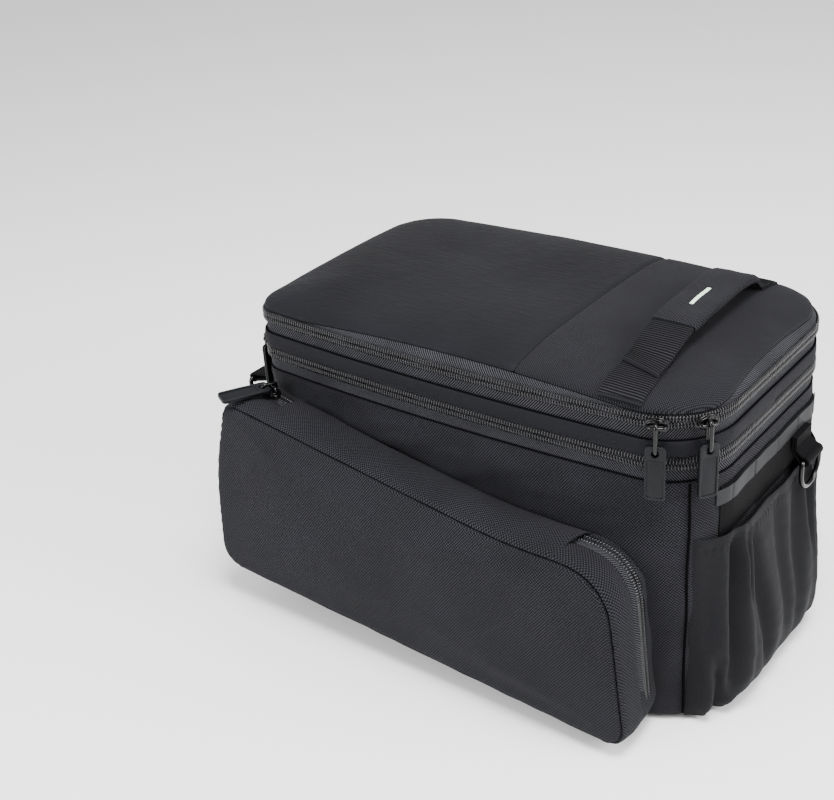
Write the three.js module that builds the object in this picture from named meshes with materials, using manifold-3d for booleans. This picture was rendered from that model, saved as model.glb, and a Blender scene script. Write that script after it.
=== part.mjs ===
// Bicycle rack bag: a padded box with two zips round its top, a domed lid with a carrying handle,
// a zipped pocket on each long side, a gathered pocket on the rear face and two rings for a strap.
// Millimetres. +X points to the rear of the bicycle, +Y to its right side and +Z up.
// The origin is the centre of the flat underside.
import * as THREE from "three";
import { mergeVertices } from "three/addons/utils/BufferGeometryUtils.js";
import Module from "manifold-3d";

const wasm = await Module();
wasm.setup();

// Clearance between pieces that touch
const clearance = 0.3;

// Padded body
const bodyLength = 360;
const bodyWidth = 208;
const bodyHeight = 190;
const sideBow = 5;
const rearCornerRadius = 48;
const frontLeftCornerRadius = 20;
const frontRightCornerRadius = 42;
const bodyWall = 4;
const floorThickness = 5;
const baseEdgeRadius = 8;

// Stiff plate let into the underside
const rackPlateLength = 300;
const rackPlateWidth = 140;
const rackPlateThickness = 2.5;

// Zip tapes round the top, each a band with a chain of coils on it
const zipBandHeight = 24.6;
const tapeThickness = 1.2;
const chainWidth = 9;
const chainThickness = 1.8;
const lowerChainRise = 13;
const upperChainRise = 17.4;
const hingeWidth = 110;

// Domed lid: its rim rises above the upper zip in the middle of each side and dips at the corners
const rimSideRise = 9.6;
const rimEndRise = 12;
const rimCornerRise = 5;
const lidInset = 5.4;
const lidCornerInset = 0.8;
const lidCrown = 20;
const cornerReach = 0.72;
const weldTolerance = 1e-4;
const lidThickness = 5;
const lidSeamX = bodyLength / 2 - 132;
const weltDiameter = 2;

// Handle across the lid
const handleX = bodyLength / 2 - 56;
const strapWidth = 30;
const strapThickness = 2.6;
const anchorThickness = 1.8;
const anchorReach = bodyWidth / 2 - 34;
const strapReach = bodyWidth / 2 - 19;
const handleRise = 16;
const sleeveLength = 82;
const sleeveThickness = 2.2;
const stripeLength = 26;
const stripeWidth = 4;
const stripeThickness = 0.6;
const strapInset = 0.5;

// Side pockets
const pocketDepth = 45;
const pocketLength = bodyLength - 9;
const pocketHeight = bodyHeight - 24;
const pocketRearX = bodyLength / 2 - 27;
const pocketFloorZ = 11;
const pocketSink = 4;
const gussetThickness = 2.5;
const panelThickness = 3.6;
const pocketWeltSize = 3;
const pocketZipOffset = 3;
const pocketZipWidth = 20;
const flapThickness = 1.4;

// Gathered pocket on the rear face, from one rounded corner round to the other
const rearFlatHalf = bodyWidth / 2 - rearCornerRadius;
const rearPocketHalfSpan = rearFlatHalf + 36;
const rearPocketRim = bodyHeight - 46;
const rearPocketRimRise = 3;
const rearPocketFoot = 4;
const rearPocketBulge = 19;
const rearPocketCloth = 1.5;
const foldDepth = 3;
const foldSpacing = 7.5;
const cornerSeamWidth = 2.6;
const cornerSeamThickness = 2;

// Webbing and strip across the rear face
const rearWebbingHalfSpan = rearFlatHalf + 16;
const rearWebbingFoot = bodyHeight - 48;
const rearWebbingHeight = 43;
const webbingThickness = 1.8;
const reflectorFoot = rearWebbingFoot + 27;
const reflectorHeight = 16;
const reflectorThickness = 0.6;

// Zip sliders and their pulls
const sliderLength = 11;
const sliderWidth = 9;
const sliderThickness = 2.2;
const sliderSeat = 0.5;
const bridgeWireRadius = 0.9;
const linkWireRadius = 0.7;
const upperLinkLength = 17;
const lowerLinkLength = 8;
const pocketLinkLength = 6;
const pullLength = 38;
const pullWidth = 13;
const pullThickness = 2.6;
const pullHoleRadius = 2.6;
const pullTopBar = 2.4;
const pocketPullLean = 0.45;
const firstSliderDistance = -rearFlatHalf - 58;
const secondSliderDistance = -rearFlatHalf - 30;
const frontSliderY = 16 - bodyWidth / 2;

// Webbing tabs and their rings
const tabWidth = 25;
const tabWebbing = 2;
const tabPlateHeight = 11;
const tabDrop = 6;
const rearTabReach = 12;
const frontTabReach = 33;
const rearTabZ = bodyHeight - 40;
const frontTabZ = bodyHeight - 30;
const rearTabY = bodyWidth / 2 - 63;
const frontTabY = 35 - bodyWidth / 2;
const rollStart = THREE.MathUtils.degToRad(-153);
const rollEnd = THREE.MathUtils.degToRad(108);
const ringWireRadius = 1.75;
const ringWidth = 30;
const ringDrop = 23;

// Facets
const cornerSteps = 6;
const sideSteps = 6;
const endSteps = 4;
const outlineCornerSteps = 4;
const outlineEdgeSteps = 4;
const wireSides = 6;
const linkSteps = 5;
const rollSteps = 8;
const ringSteps = 8;
const holeSegments = 4;

// Finishes
const wovenCloth = new THREE.MeshStandardMaterial({ color: 0x24252a, roughness: 0.9, metalness: 0 });
const softCloth = new THREE.MeshStandardMaterial({ color: 0x1d1e22, roughness: 0.85, metalness: 0 });
const thinCloth = new THREE.MeshStandardMaterial({ color: 0x1f2024, roughness: 0.75, metalness: 0 });
const tapeCloth = new THREE.MeshStandardMaterial({ color: 0x2a2b30, roughness: 0.85, metalness: 0 });
const webbing = new THREE.MeshStandardMaterial({ color: 0x1b1b1e, roughness: 0.8, metalness: 0 });
const coil = new THREE.MeshStandardMaterial({ color: 0x18181a, roughness: 0.4, metalness: 0 });
const rubber = new THREE.MeshStandardMaterial({ color: 0x2e2f33, roughness: 0.6, metalness: 0 });
const blackMetal = new THREE.MeshStandardMaterial({ color: 0x101012, roughness: 0.25, metalness: 0.9 });
const greyStrip = new THREE.MeshStandardMaterial({ color: 0x5a5c62, roughness: 0.5, metalness: 0.1 });
const paleStripe = new THREE.MeshStandardMaterial({ color: 0xcfe6cc, roughness: 0.7, metalness: 0 });
const plastic = new THREE.MeshStandardMaterial({ color: 0x151517, roughness: 0.6, metalness: 0 });

const bag = new THREE.Group();

// Adds a named piece to the bag, or to a group of it
function addPiece(name, geometry, material, parent = bag) {
  const mesh = new THREE.Mesh(geometry, material);
  mesh.name = name;
  parent.add(mesh);
  return mesh;
}

// Signed volume of an indexed triangle mesh
function signedVolume(points, index) {
  let volume = 0;
  for (let i = 0; i < index.length; i += 3) {
    const [a, b, c] = [points[index[i]], points[index[i + 1]], points[index[i + 2]]];
    volume += a.dot(new THREE.Vector3().crossVectors(b, c)) / 6;
  }
  return volume;
}

// Geometry of a closed mesh, turned so that its faces point outward
function closedGeometry(points, index) {
  const faces = signedVolume(points, index) < 0 ? [...index].reverse() : index;
  const geometry = new THREE.BufferGeometry().setFromPoints(points);
  geometry.setIndex(faces);
  geometry.computeVertexNormals();
  return geometry;
}

// Solid through a list of loops with equal counts, either joined end to end or closed by a fan at each end
function loftSolid(loops, closed = false) {
  const count = loops[0].length;
  const points = loops.flat();
  const index = [];
  const nextCorner = (i) => (i + 1) % count;
  const rows = closed ? loops.length : loops.length - 1;
  for (let row = 0; row < rows; row += 1) {
    const here = row * count;
    const next = ((row + 1) % loops.length) * count;
    for (let i = 0; i < count; i += 1) {
      const j = nextCorner(i);
      index.push(here + i, here + j, next + j, here + i, next + j, next + i);
    }
  }
  const addFan = (loop, first, reversed) => {
    const centre = points.length;
    points.push(loop.reduce((sum, point) => sum.add(point), new THREE.Vector3()).divideScalar(count));
    for (let i = 0; i < count; i += 1) {
      const edge = [first + i, first + nextCorner(i)];
      index.push(centre, ...(reversed ? edge.toReversed() : edge));
    }
  };
  if (!closed) {
    addFan(loops[0], 0, true);
    addFan(loops[loops.length - 1], rows * count, false);
  }
  return closedGeometry(points, index);
}

// Conversion between three.js geometries and solids for cutting and joining
function toSolid(geometry) {
  const plain = new THREE.BufferGeometry().setAttribute("position", geometry.getAttribute("position").clone());
  if (geometry.index) plain.setIndex(geometry.index.clone());
  const merged = mergeVertices(plain, weldTolerance);
  return new wasm.Manifold(new wasm.Mesh({
    numProp: 3,
    vertProperties: new Float32Array(merged.getAttribute("position").array),
    triVerts: new Uint32Array(merged.index.array),
  }));
}

function toGeometry(solid) {
  const mesh = solid.getMesh();
  const geometry = new THREE.BufferGeometry();
  geometry.setAttribute("position", new THREE.BufferAttribute(new Float32Array(mesh.vertProperties), mesh.numProp));
  geometry.setIndex([...mesh.triVerts]);
  geometry.computeVertexNormals();
  return geometry;
}

// Box between two corners
function boxBetween(low, high) {
  const size = new THREE.Vector3().subVectors(high, low);
  const middle = new THREE.Vector3().addVectors(high, low).multiplyScalar(0.5);
  return new THREE.BoxGeometry(size.x, size.y, size.z).translate(middle.x, middle.y, middle.z);
}

// Offset direction at each corner of a closed outline, long enough for an exact parallel offset
function withOffsets(outline) {
  const count = outline.length;
  return outline.map((point, i) => {
    const before = outline[(i + count - 1) % count];
    const after = outline[(i + 1) % count];
    const inward = new THREE.Vector2(point.x - before.x, point.y - before.y).normalize();
    const outward = new THREE.Vector2(after.x - point.x, after.y - point.y).normalize();
    const sum = new THREE.Vector2(inward.y + outward.y, -inward.x - outward.x);
    const scale = 2 / sum.lengthSq();
    return { x: point.x, y: point.y, nx: sum.x * scale, ny: sum.y * scale };
  });
}

// Plan of the bag: corners in counter-clockwise order, with the side that follows each one
const planCorners = [
  { x: 1, y: 1, radius: rearCornerRadius, start: 0, steps: sideSteps, bow: sideBow },
  { x: -1, y: 1, radius: frontRightCornerRadius, start: 90, steps: endSteps, bow: 0 },
  { x: -1, y: -1, radius: frontLeftCornerRadius, start: 180, steps: sideSteps, bow: sideBow },
  { x: 1, y: -1, radius: rearCornerRadius, start: 270, steps: endSteps, bow: 0 },
];

function cornerPoint(corner, degrees) {
  const angle = THREE.MathUtils.degToRad(degrees);
  return {
    x: corner.x * (bodyLength / 2 - corner.radius) + corner.radius * Math.cos(angle),
    y: corner.y * (bodyWidth / 2 - corner.radius) + corner.radius * Math.sin(angle),
  };
}

// Stations round the plan, each with its distance along the wall from the middle of the rear face
function planStations() {
  const outline = [];
  planCorners.forEach((corner, i) => {
    for (let step = 0; step <= cornerSteps; step += 1) {
      outline.push(cornerPoint(corner, corner.start + (90 * step) / cornerSteps));
    }
    const next = planCorners[(i + 1) % planCorners.length];
    const from = cornerPoint(corner, corner.start + 90);
    const to = cornerPoint(next, next.start);
    for (let step = 1; step < corner.steps; step += 1) {
      const share = step / corner.steps;
      const bow = corner.bow * 4 * share * (1 - share) * Math.sign(from.y + to.y);
      outline.push({
        x: THREE.MathUtils.lerp(from.x, to.x, share),
        y: THREE.MathUtils.lerp(from.y, to.y, share) + (corner.bow ? bow : 0),
      });
    }
  });
  const stations = withOffsets(outline);
  stations.forEach((station, i) => {
    const before = stations[i - 1];
    station.distance = before
      ? before.distance + Math.hypot(station.x - before.x, station.y - before.y)
      : rearFlatHalf;
  });
  return stations;
}

const stations = planStations();
const lastStation = stations[stations.length - 1];
const perimeter = lastStation.distance - stations[0].distance
  + Math.hypot(lastStation.x - stations[0].x, lastStation.y - stations[0].y);

// Station at any distance along the wall; the distance may run past either end of the plan
function stationAt(distance) {
  const first = stations[0].distance;
  const turns = Math.floor((distance - first) / perimeter);
  const local = distance - turns * perimeter;
  let i = stations.length - 1;
  while (stations[i].distance > local + 1e-9) i -= 1;
  const a = stations[i];
  const b = stations[(i + 1) % stations.length];
  const length = Math.hypot(b.x - a.x, b.y - a.y);
  const share = (local - a.distance) / length;
  const mix = (key) => THREE.MathUtils.lerp(a[key], b[key], share);
  return { x: mix("x"), y: mix("y"), nx: mix("nx"), ny: mix("ny"), distance };
}

// Stations from one distance to another, with every plan station between and an even spacing if asked
function stationsBetween(start, end, spacing = Infinity) {
  const distances = [start, end];
  for (let turn = -2; turn <= 2; turn += 1) {
    for (const station of stations) {
      const distance = station.distance + turn * perimeter;
      if (distance > start + clearance && distance < end - clearance) distances.push(distance);
    }
  }
  distances.sort((a, b) => a - b);
  const full = distances.flatMap((distance, i) => {
    if (i === 0) return [distance];
    const before = distances[i - 1];
    const pieces = Math.max(1, Math.round((distance - before) / spacing));
    return Array.from({ length: pieces }, (_, k) => before + ((distance - before) * (k + 1)) / pieces);
  });
  return full.map(stationAt);
}

// Distance along the wall to a place on the flat of the front face
function frontDistance(y) {
  const start = stations[2 * cornerSteps + sideSteps];
  return start.distance + start.y - y;
}

// Point off the wall at a station
function wallPoint(station, out, z) {
  return new THREE.Vector3(station.x + station.nx * out, station.y + station.ny * out, z);
}

// Ring right round the bag, with a section of out and z values that may depend on the station
function wallRing(sectionAt) {
  return loftSolid(stations.map((station) => (
    sectionAt(station).map(({ out, z }) => wallPoint(station, out, z))
  )), true);
}

// Strip along part of the wall with one section
function wallStrip(section, start, end) {
  const loops = stationsBetween(start, end).map((station) => section.map(({ out, z }) => wallPoint(station, out, z)));
  return loftSolid(loops);
}

function boxSection(outLow, outHigh, zLow, zHigh) {
  return [
    { out: outLow, z: zLow },
    { out: outHigh, z: zLow },
    { out: outHigh, z: zHigh },
    { out: outLow, z: zHigh },
  ];
}

// Loop of the whole plan at one height
function planLoop(inset, z) {
  return stations.map((station) => wallPoint(station, -inset, z));
}

// Heights of the stack above the body
const lowerBandZ = bodyHeight + clearance;
const upperBandZ = bodyHeight + zipBandHeight + clearance;
const lowerChainZ = bodyHeight + lowerChainRise;
const upperChainZ = bodyHeight + zipBandHeight + upperChainRise;
const crownZ = upperChainZ + lidCrown;

// Rim of the lid at a station: height above the upper chain, and inset from the wall
function rimAt({ x, y }) {
  const along = Math.abs(x) / (bodyLength / 2);
  const across = Math.abs(y) / (bodyWidth / 2);
  const middleRise = across > along ? rimSideRise : rimEndRise;
  const cornerShare = Math.min(1, (along * across) / cornerReach) ** 2;
  return {
    inset: THREE.MathUtils.lerp(lidInset, lidCornerInset, cornerShare),
    z: upperChainZ + THREE.MathUtils.lerp(middleRise, rimCornerRise, cornerShare),
  };
}

// Body: walls and floor in one padded shell, with rounded lower edge and open top
const bodyProfile = [
  { drop: 0, inset: 0.62 },
  { drop: 0.38, inset: 0.19 },
  { drop: 1, inset: 0 },
];

function buildBody() {
  const outside = bodyProfile.map(({ drop, inset }) => planLoop(inset * baseEdgeRadius, drop * baseEdgeRadius));
  const tub = loftSolid([
    ...outside,
    planLoop(0, bodyHeight),
    planLoop(bodyWall, bodyHeight),
    planLoop(bodyWall, floorThickness + baseEdgeRadius / 2),
    planLoop(bodyWall + baseEdgeRadius / 2, floorThickness),
  ]);
  const recess = boxBetween(
    new THREE.Vector3(-rackPlateLength / 2 - clearance, -rackPlateWidth / 2 - clearance, -1),
    new THREE.Vector3(rackPlateLength / 2 + clearance, rackPlateWidth / 2 + clearance, rackPlateThickness + clearance),
  );
  addPiece("body_shell", toGeometry(toSolid(tub).subtract(toSolid(recess))), wovenCloth);
  const plate = boxBetween(
    new THREE.Vector3(-rackPlateLength / 2, -rackPlateWidth / 2, 0),
    new THREE.Vector3(rackPlateLength / 2, rackPlateWidth / 2, rackPlateThickness),
  );
  addPiece("rack_plate", plate, plastic);
}

// Zip bands: the upper one leans in above its chain to meet the lid
function buildZipBands() {
  const lowerTape = boxSection(-tapeThickness, 0, lowerBandZ, upperBandZ - clearance);
  addPiece("lower_zip_tape", wallRing(() => lowerTape), tapeCloth);
  const leanZ = upperChainZ + chainWidth / 2;
  addPiece("upper_zip_tape", wallRing((station) => {
    const rim = rimAt(station);
    return [
      { out: -tapeThickness, z: upperBandZ },
      { out: 0, z: upperBandZ },
      { out: 0, z: leanZ },
      { out: -rim.inset, z: rim.z },
      { out: -rim.inset - tapeThickness, z: rim.z },
      { out: -tapeThickness, z: leanZ },
    ];
  }), tapeCloth);
  const chainSection = (z) => boxSection(clearance, clearance + chainThickness, z - chainWidth / 2, z + chainWidth / 2);
  addPiece("lower_zip_chain", wallRing(() => chainSection(lowerChainZ)), coil);
  const hingeStart = frontDistance(hingeWidth / 2);
  const hingeEnd = frontDistance(-hingeWidth / 2);
  addPiece("upper_zip_chain", wallStrip(chainSection(upperChainZ), hingeEnd - perimeter, hingeStart), coil);
  addPiece("lid_hinge", wallStrip(
    boxSection(clearance, clearance + tapeThickness, upperBandZ, leanZ),
    hingeStart + clearance,
    hingeEnd - clearance,
  ), wovenCloth);
}

// Lid: a shallow dome that rises from its rim towards a spine along the bag
const lidProfile = [
  { reach: 0, rise: 0 },
  { reach: 0.02, rise: 0.24 },
  { reach: 0.08, rise: 0.5 },
  { reach: 0.24, rise: 0.8 },
  { reach: 0.52, rise: 0.96 },
  { reach: 0.86, rise: 1 },
];
const spineHalf = (bodyLength - bodyWidth) / 2;

function domeLoop(extraInset, reach, rise, lift) {
  return stations.map((station) => {
    const rim = rimAt(station);
    const point = wallPoint(station, -rim.inset - extraInset, rim.z + clearance);
    const spine = new THREE.Vector3(THREE.MathUtils.clamp(point.x, -spineHalf, spineHalf), 0, point.z);
    point.lerp(spine, reach);
    point.z = THREE.MathUtils.lerp(rim.z + clearance, crownZ - lift, rise);
    return point;
  });
}

function buildLid() {
  const top = lidProfile.map(({ reach, rise }) => domeLoop(0, reach, rise, 0));
  const under = lidProfile.map(({ reach, rise }) => domeLoop(lidThickness, reach, rise, lidThickness));
  const dome = toSolid(loftSolid([...under.reverse(), ...top]));
  const reach = bodyLength;
  const seamLow = lidSeamX - clearance / 2;
  const seamHigh = lidSeamX + clearance / 2;
  const frontHalf = boxBetween(new THREE.Vector3(-reach, -reach, 0), new THREE.Vector3(seamLow, reach, reach));
  const rearHalf = boxBetween(new THREE.Vector3(seamHigh, -reach, 0), new THREE.Vector3(reach, reach, reach));
  addPiece("lid_front_panel", toGeometry(dome.intersect(toSolid(frontHalf))), softCloth);
  const weltRadius = weltDiameter / 2;
  const weltAngles = Array.from({ length: wireSides }, (_, i) => (2 * Math.PI * (i + 0.5)) / wireSides);
  addPiece("lid_welt", wallRing((station) => {
    const rim = rimAt(station);
    return weltAngles.map((angle) => ({
      out: clearance - rim.inset + weltRadius * (1 + Math.cos(angle)),
      z: rim.z + clearance + weltRadius * (1 + Math.sin(angle)),
    }));
  }), webbing);
  return addPiece("lid_rear_panel", toGeometry(dome.intersect(toSolid(rearHalf))), wovenCloth);
}

// Height of the lid under a strip across it, taken as the highest of the strip's edges and middle
function lidHeightAt(lid, y) {
  const heights = [-0.5, 0, 0.5].map((share) => {
    const above = new THREE.Vector3(handleX + share * strapWidth, y, crownZ + lidCrown);
    const hits = new THREE.Raycaster(above, new THREE.Vector3(0, 0, -1)).intersectObject(lid);
    return hits.length ? hits[0].point.z : upperChainZ;
  });
  return Math.max(...heights);
}

// Strip of webbing across the bag from its underside line and thickness
function crossStrip(line, thickness, width) {
  const [low, high] = [handleX - width / 2, handleX + width / 2];
  return loftSolid(line.map(({ y, z, ny = 0, nz = 1 }) => [
    new THREE.Vector3(low, y, z),
    new THREE.Vector3(high, y, z),
    new THREE.Vector3(high, y + ny * thickness, z + nz * thickness),
    new THREE.Vector3(low, y + ny * thickness, z + nz * thickness),
  ]));
}

// Line of the strap: seated on its anchors at both ends and arched between them
const strapProfile = [
  { reach: 1, rise: 0 },
  { reach: 0.84, rise: 0 },
  { reach: 0.72, rise: 0.2 },
  { reach: 0.58, rise: 0.52 },
  { reach: 0.42, rise: 0.8 },
  { reach: 0.24, rise: 0.95 },
  { reach: 0.08, rise: 1 },
];

function withNormals(line) {
  return line.map((point, i) => {
    const before = line[Math.max(i - 1, 0)];
    const after = line[Math.min(i + 1, line.length - 1)];
    const along = new THREE.Vector2(after.y - before.y, after.z - before.z).normalize();
    return { ...point, ny: -along.y, nz: along.x };
  });
}

function mirrored(line) {
  return [...line, ...line.toReversed().map(({ y, z }) => ({ y: -y, z }))];
}

function buildHandle(lid) {
  const anchorEnd = wallHalfWidth(handleX + strapWidth / 2, 1) - lidCornerInset - weltDiameter - 2 * clearance;
  const anchorLine = [0, 0.25, 0.5, 0.75, 1].map((share) => {
    const y = -THREE.MathUtils.lerp(anchorEnd, anchorReach, share);
    return { y, z: lidHeightAt(lid, y) + clearance };
  });
  const raisedLid = toSolid(lid.geometry.clone().translate(0, 0, clearance));
  const anchors = [["left", 1], ["right", -1]].map(([name, side]) => {
    const line = anchorLine.map(({ y, z }) => ({ y: y * side, z }));
    const seated = toSolid(crossStrip(line, anchorThickness, strapWidth)).subtract(raisedLid);
    addPiece(`handle_anchor_${name}`, toGeometry(seated), webbing);
    return seated;
  });
  const seat = lidHeightAt(lid, 0) + handleRise;
  const half = strapProfile.map(({ reach, rise }) => {
    const y = -reach * strapReach;
    const low = lidHeightAt(lid, y) + clearance + anchorThickness;
    return { y, z: THREE.MathUtils.lerp(low, seat, rise) };
  });
  const line = withNormals(mirrored(half));
  const strap = anchors.reduce(
    (rest, anchor) => rest.subtract(anchor.translate([0, 0, clearance])),
    toSolid(crossStrip(line, strapThickness, strapWidth - 2 * strapInset)),
  );
  addPiece("handle_strap", toGeometry(strap), webbing);
  buildSleeve(line);
}

// Sleeve: a flat tube of cloth round the middle of the strap, and a stripe on its top
function buildSleeve(line) {
  const middle = line.filter(({ y }) => Math.abs(y) < sleeveLength / 2);
  const wrap = (gap) => {
    const halfWidth = strapWidth / 2 - strapInset + gap;
    return middle.map(({ y, z, ny, nz }) => {
      const point = (x, lift) => new THREE.Vector3(handleX + x, y + ny * lift, z + nz * lift);
      return [
        point(-halfWidth, -gap),
        point(halfWidth, -gap),
        point(halfWidth, strapThickness + gap),
        point(-halfWidth, strapThickness + gap),
      ];
    });
  };
  const outer = wrap(clearance + sleeveThickness);
  const inner = wrap(clearance);
  addPiece("handle_sleeve", loftSolid([...outer, ...inner.reverse()], true), wovenCloth);
  const lift = strapThickness + 2 * clearance + sleeveThickness;
  const stripe = crossStrip(
    [-0.5, 0.5].map((share) => ({ y: share * stripeLength, z: middle[middle.length / 2].z + lift })),
    stripeThickness,
    stripeWidth,
  );
  addPiece("handle_stripe", stripe, paleStripe);
}

// Outlines of a side pocket as shares of its length and height, measured from its lower rear corner
const panelOutline = [
  { along: 0.94, up: 1, radius: 0.035 },
  { along: 0.255, up: 0.779, radius: 0.09 },
  { along: 0.04, up: 0.783, radius: 0.105 },
  { along: 0, up: 0, radius: 0.05 },
  { along: 1.012, up: 0.128, radius: 0.055 },
  { along: 0.996, up: 0.62, radius: 0.09 },
];
const wallOutline = [
  { along: 0.909, up: 0.985, radius: 0.03 },
  { along: 0.29, up: 0.779, radius: 0.12 },
  { along: 0.031, up: 0.773, radius: 0.095 },
  { along: 0.006, up: 0.012, radius: 0.04 },
  { along: 0.945, up: 0.085, radius: 0.05 },
  { along: 0.938, up: 0.6, radius: 0.09 },
];

// Closed outline with rounded corners and evenly divided edges, the same count for every outline
function roundedOutline(rows) {
  const corners = rows.map(({ along, up, radius }) => ({
    place: new THREE.Vector2(pocketRearX - along * pocketLength, pocketFloorZ + up * pocketHeight),
    radius: radius * pocketLength,
  }));
  const outline = [];
  corners.forEach(({ place, radius }, i) => {
    const before = corners[(i + corners.length - 1) % corners.length].place;
    const next = corners[(i + 1) % corners.length];
    const towards = (other, length) => place.clone().add(other.clone().sub(place).setLength(length));
    const end = towards(next.place, radius);
    const arc = new THREE.QuadraticBezierCurve(towards(before, radius), place, end);
    outline.push(...arc.getPoints(outlineCornerSteps));
    const nextStart = next.place.clone().add(place.clone().sub(next.place).setLength(next.radius));
    for (let step = 1; step < outlineEdgeSteps; step += 1) {
      outline.push(end.clone().lerp(nextStart, step / outlineEdgeSteps));
    }
  });
  return withOffsets(outline.reverse());
}

// Distance from the middle plane to the bag's wall at a place along it
function wallHalfWidth(x, side) {
  const facesSide = ({ y, ny }) => y * side > 0 && Math.abs(ny) > clearance / bodyLength;
  const edge = stations.filter(facesSide).map(({ x, y }) => ({ x, y: y * side }));
  edge.sort((a, b) => a.x - b.x);
  const i = edge.findIndex((point) => point.x > x);
  if (i < 1) return edge[i < 0 ? edge.length - 1 : 0].y;
  const [a, b] = [edge[i - 1], edge[i]];
  return THREE.MathUtils.mapLinear(x, a.x, b.x, a.y, b.y);
}

const stepsPerCorner = outlineCornerSteps + outlineEdgeSteps;
const panelY = bodyWidth / 2 + pocketDepth;
const gussetEndY = panelY - pocketWeltSize - clearance;

// Everything that makes up one side pocket, on the left side for -1 and on the right for 1
function buildSidePocket(name, side) {
  const panelEdge = roundedOutline(panelOutline);
  const wallEdge = roundedOutline(wallOutline);
  const gussetPoint = (i, share, lift) => {
    const [a, b] = [wallEdge[i], panelEdge[i]];
    const mix = (key) => THREE.MathUtils.lerp(a[key], b[key], share);
    const wallY = wallHalfWidth(a.x + a.nx * lift, side) - pocketSink * Number(share === 0);
    const y = THREE.MathUtils.lerp(wallY, gussetEndY, share);
    return new THREE.Vector3(mix("x") + mix("nx") * lift, side * y, mix("y") + mix("ny") * lift);
  };
  const zipStart = pocketZipOffset / pocketDepth;
  const zipEnd = zipStart + pocketZipWidth / pocketDepth;
  const zipMiddle = (zipStart + zipEnd) / 2;
  const chainHalf = chainWidth / 2 / pocketDepth;
  const cuts = [0, zipStart, zipEnd, 1];
  const band = (shares, low, high) => (_, i) => [
    ...shares.map((share) => gussetPoint(i, share, high)),
    ...shares.toReversed().map((share) => gussetPoint(i, share, low)),
  ];
  const gusset = toSolid(loftSolid(panelEdge.map(band(cuts, -gussetThickness, 0)), true));
  const wall = toSolid(loftSolid([planLoop(-clearance, -bodyHeight), planLoop(-clearance, 2 * bodyHeight)]));
  addPiece(`${name}_pocket_gusset`, toGeometry(gusset.subtract(wall)), wovenCloth);

  const flat = (inset, y) => panelEdge.map(({ x, y: z, nx, ny }) => (
    new THREE.Vector3(x - nx * inset, side * y, z - ny * inset)
  ));
  const weltInner = pocketWeltSize;
  addPiece(`${name}_pocket_welt`, loftSolid([
    flat(0, panelY - pocketWeltSize),
    flat(0, panelY),
    flat(weltInner, panelY),
    flat(weltInner, panelY - pocketWeltSize),
  ], true), webbing);
  const panelInset = weltInner + clearance;
  addPiece(`${name}_pocket_panel`, loftSolid([
    flat(panelInset, panelY - panelThickness),
    flat(panelInset, panelY),
  ]), wovenCloth);

  // The outline runs against its table, so the zip from front to rear takes the first corners backwards
  const last = panelEdge.length - 1;
  const zipFrom = last - 3 * stepsPerCorner;
  const stretch = (from, to) => panelEdge.slice(from, to + 1).map((_, i) => from + i);
  const along = (from, to, shares, low, high) => loftSolid(
    stretch(from, to).map((i) => band(shares, low, high)(null, i)),
  );
  const frontEnd = last - outlineCornerSteps;
  const tapeTop = clearance + tapeThickness;
  const chainTop = tapeTop + clearance + chainThickness;
  const zipCuts = [zipStart, zipEnd];
  addPiece(`${name}_pocket_zip_tape`, along(zipFrom, frontEnd, zipCuts, clearance, tapeTop), tapeCloth);
  const chainCuts = [zipMiddle - chainHalf, zipMiddle + chainHalf];
  addPiece(
    `${name}_pocket_zip_chain`,
    along(zipFrom, frontEnd, chainCuts, tapeTop + clearance, chainTop),
    coil,
  );
  const flapLow = chainTop + clearance;
  addPiece(
    `${name}_pocket_flap`,
    along(last - 2 * stepsPerCorner, frontEnd - 1, zipCuts, flapLow, flapLow + flapThickness),
    wovenCloth,
  );

  const place = gussetPoint(frontEnd, zipMiddle, chainTop);
  const outward = gussetPoint(frontEnd, zipMiddle, chainTop + 1).sub(place).normalize();
  const hang = new THREE.Vector3(-pocketPullLean, side, 0);
  buildSlider(`${name}_pocket`, { place, outward, hang, linkLength: pocketLinkLength });
}

// Closed wire along a loop of points in a plane with the given normal
function wireLoop(points, radius, planeNormal) {
  const loops = points.map((point, i) => {
    const before = points[(i + points.length - 1) % points.length];
    const after = points[(i + 1) % points.length];
    const tangent = new THREE.Vector3().subVectors(after, before).normalize();
    const across = new THREE.Vector3().crossVectors(tangent, planeNormal).normalize();
    return Array.from({ length: wireSides }, (_, k) => {
      const angle = (2 * Math.PI * k) / wireSides;
      return point.clone()
        .addScaledVector(across, radius * Math.cos(angle))
        .addScaledVector(planeNormal, radius * Math.sin(angle));
    });
  });
  return loftSolid(loops, true);
}

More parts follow.
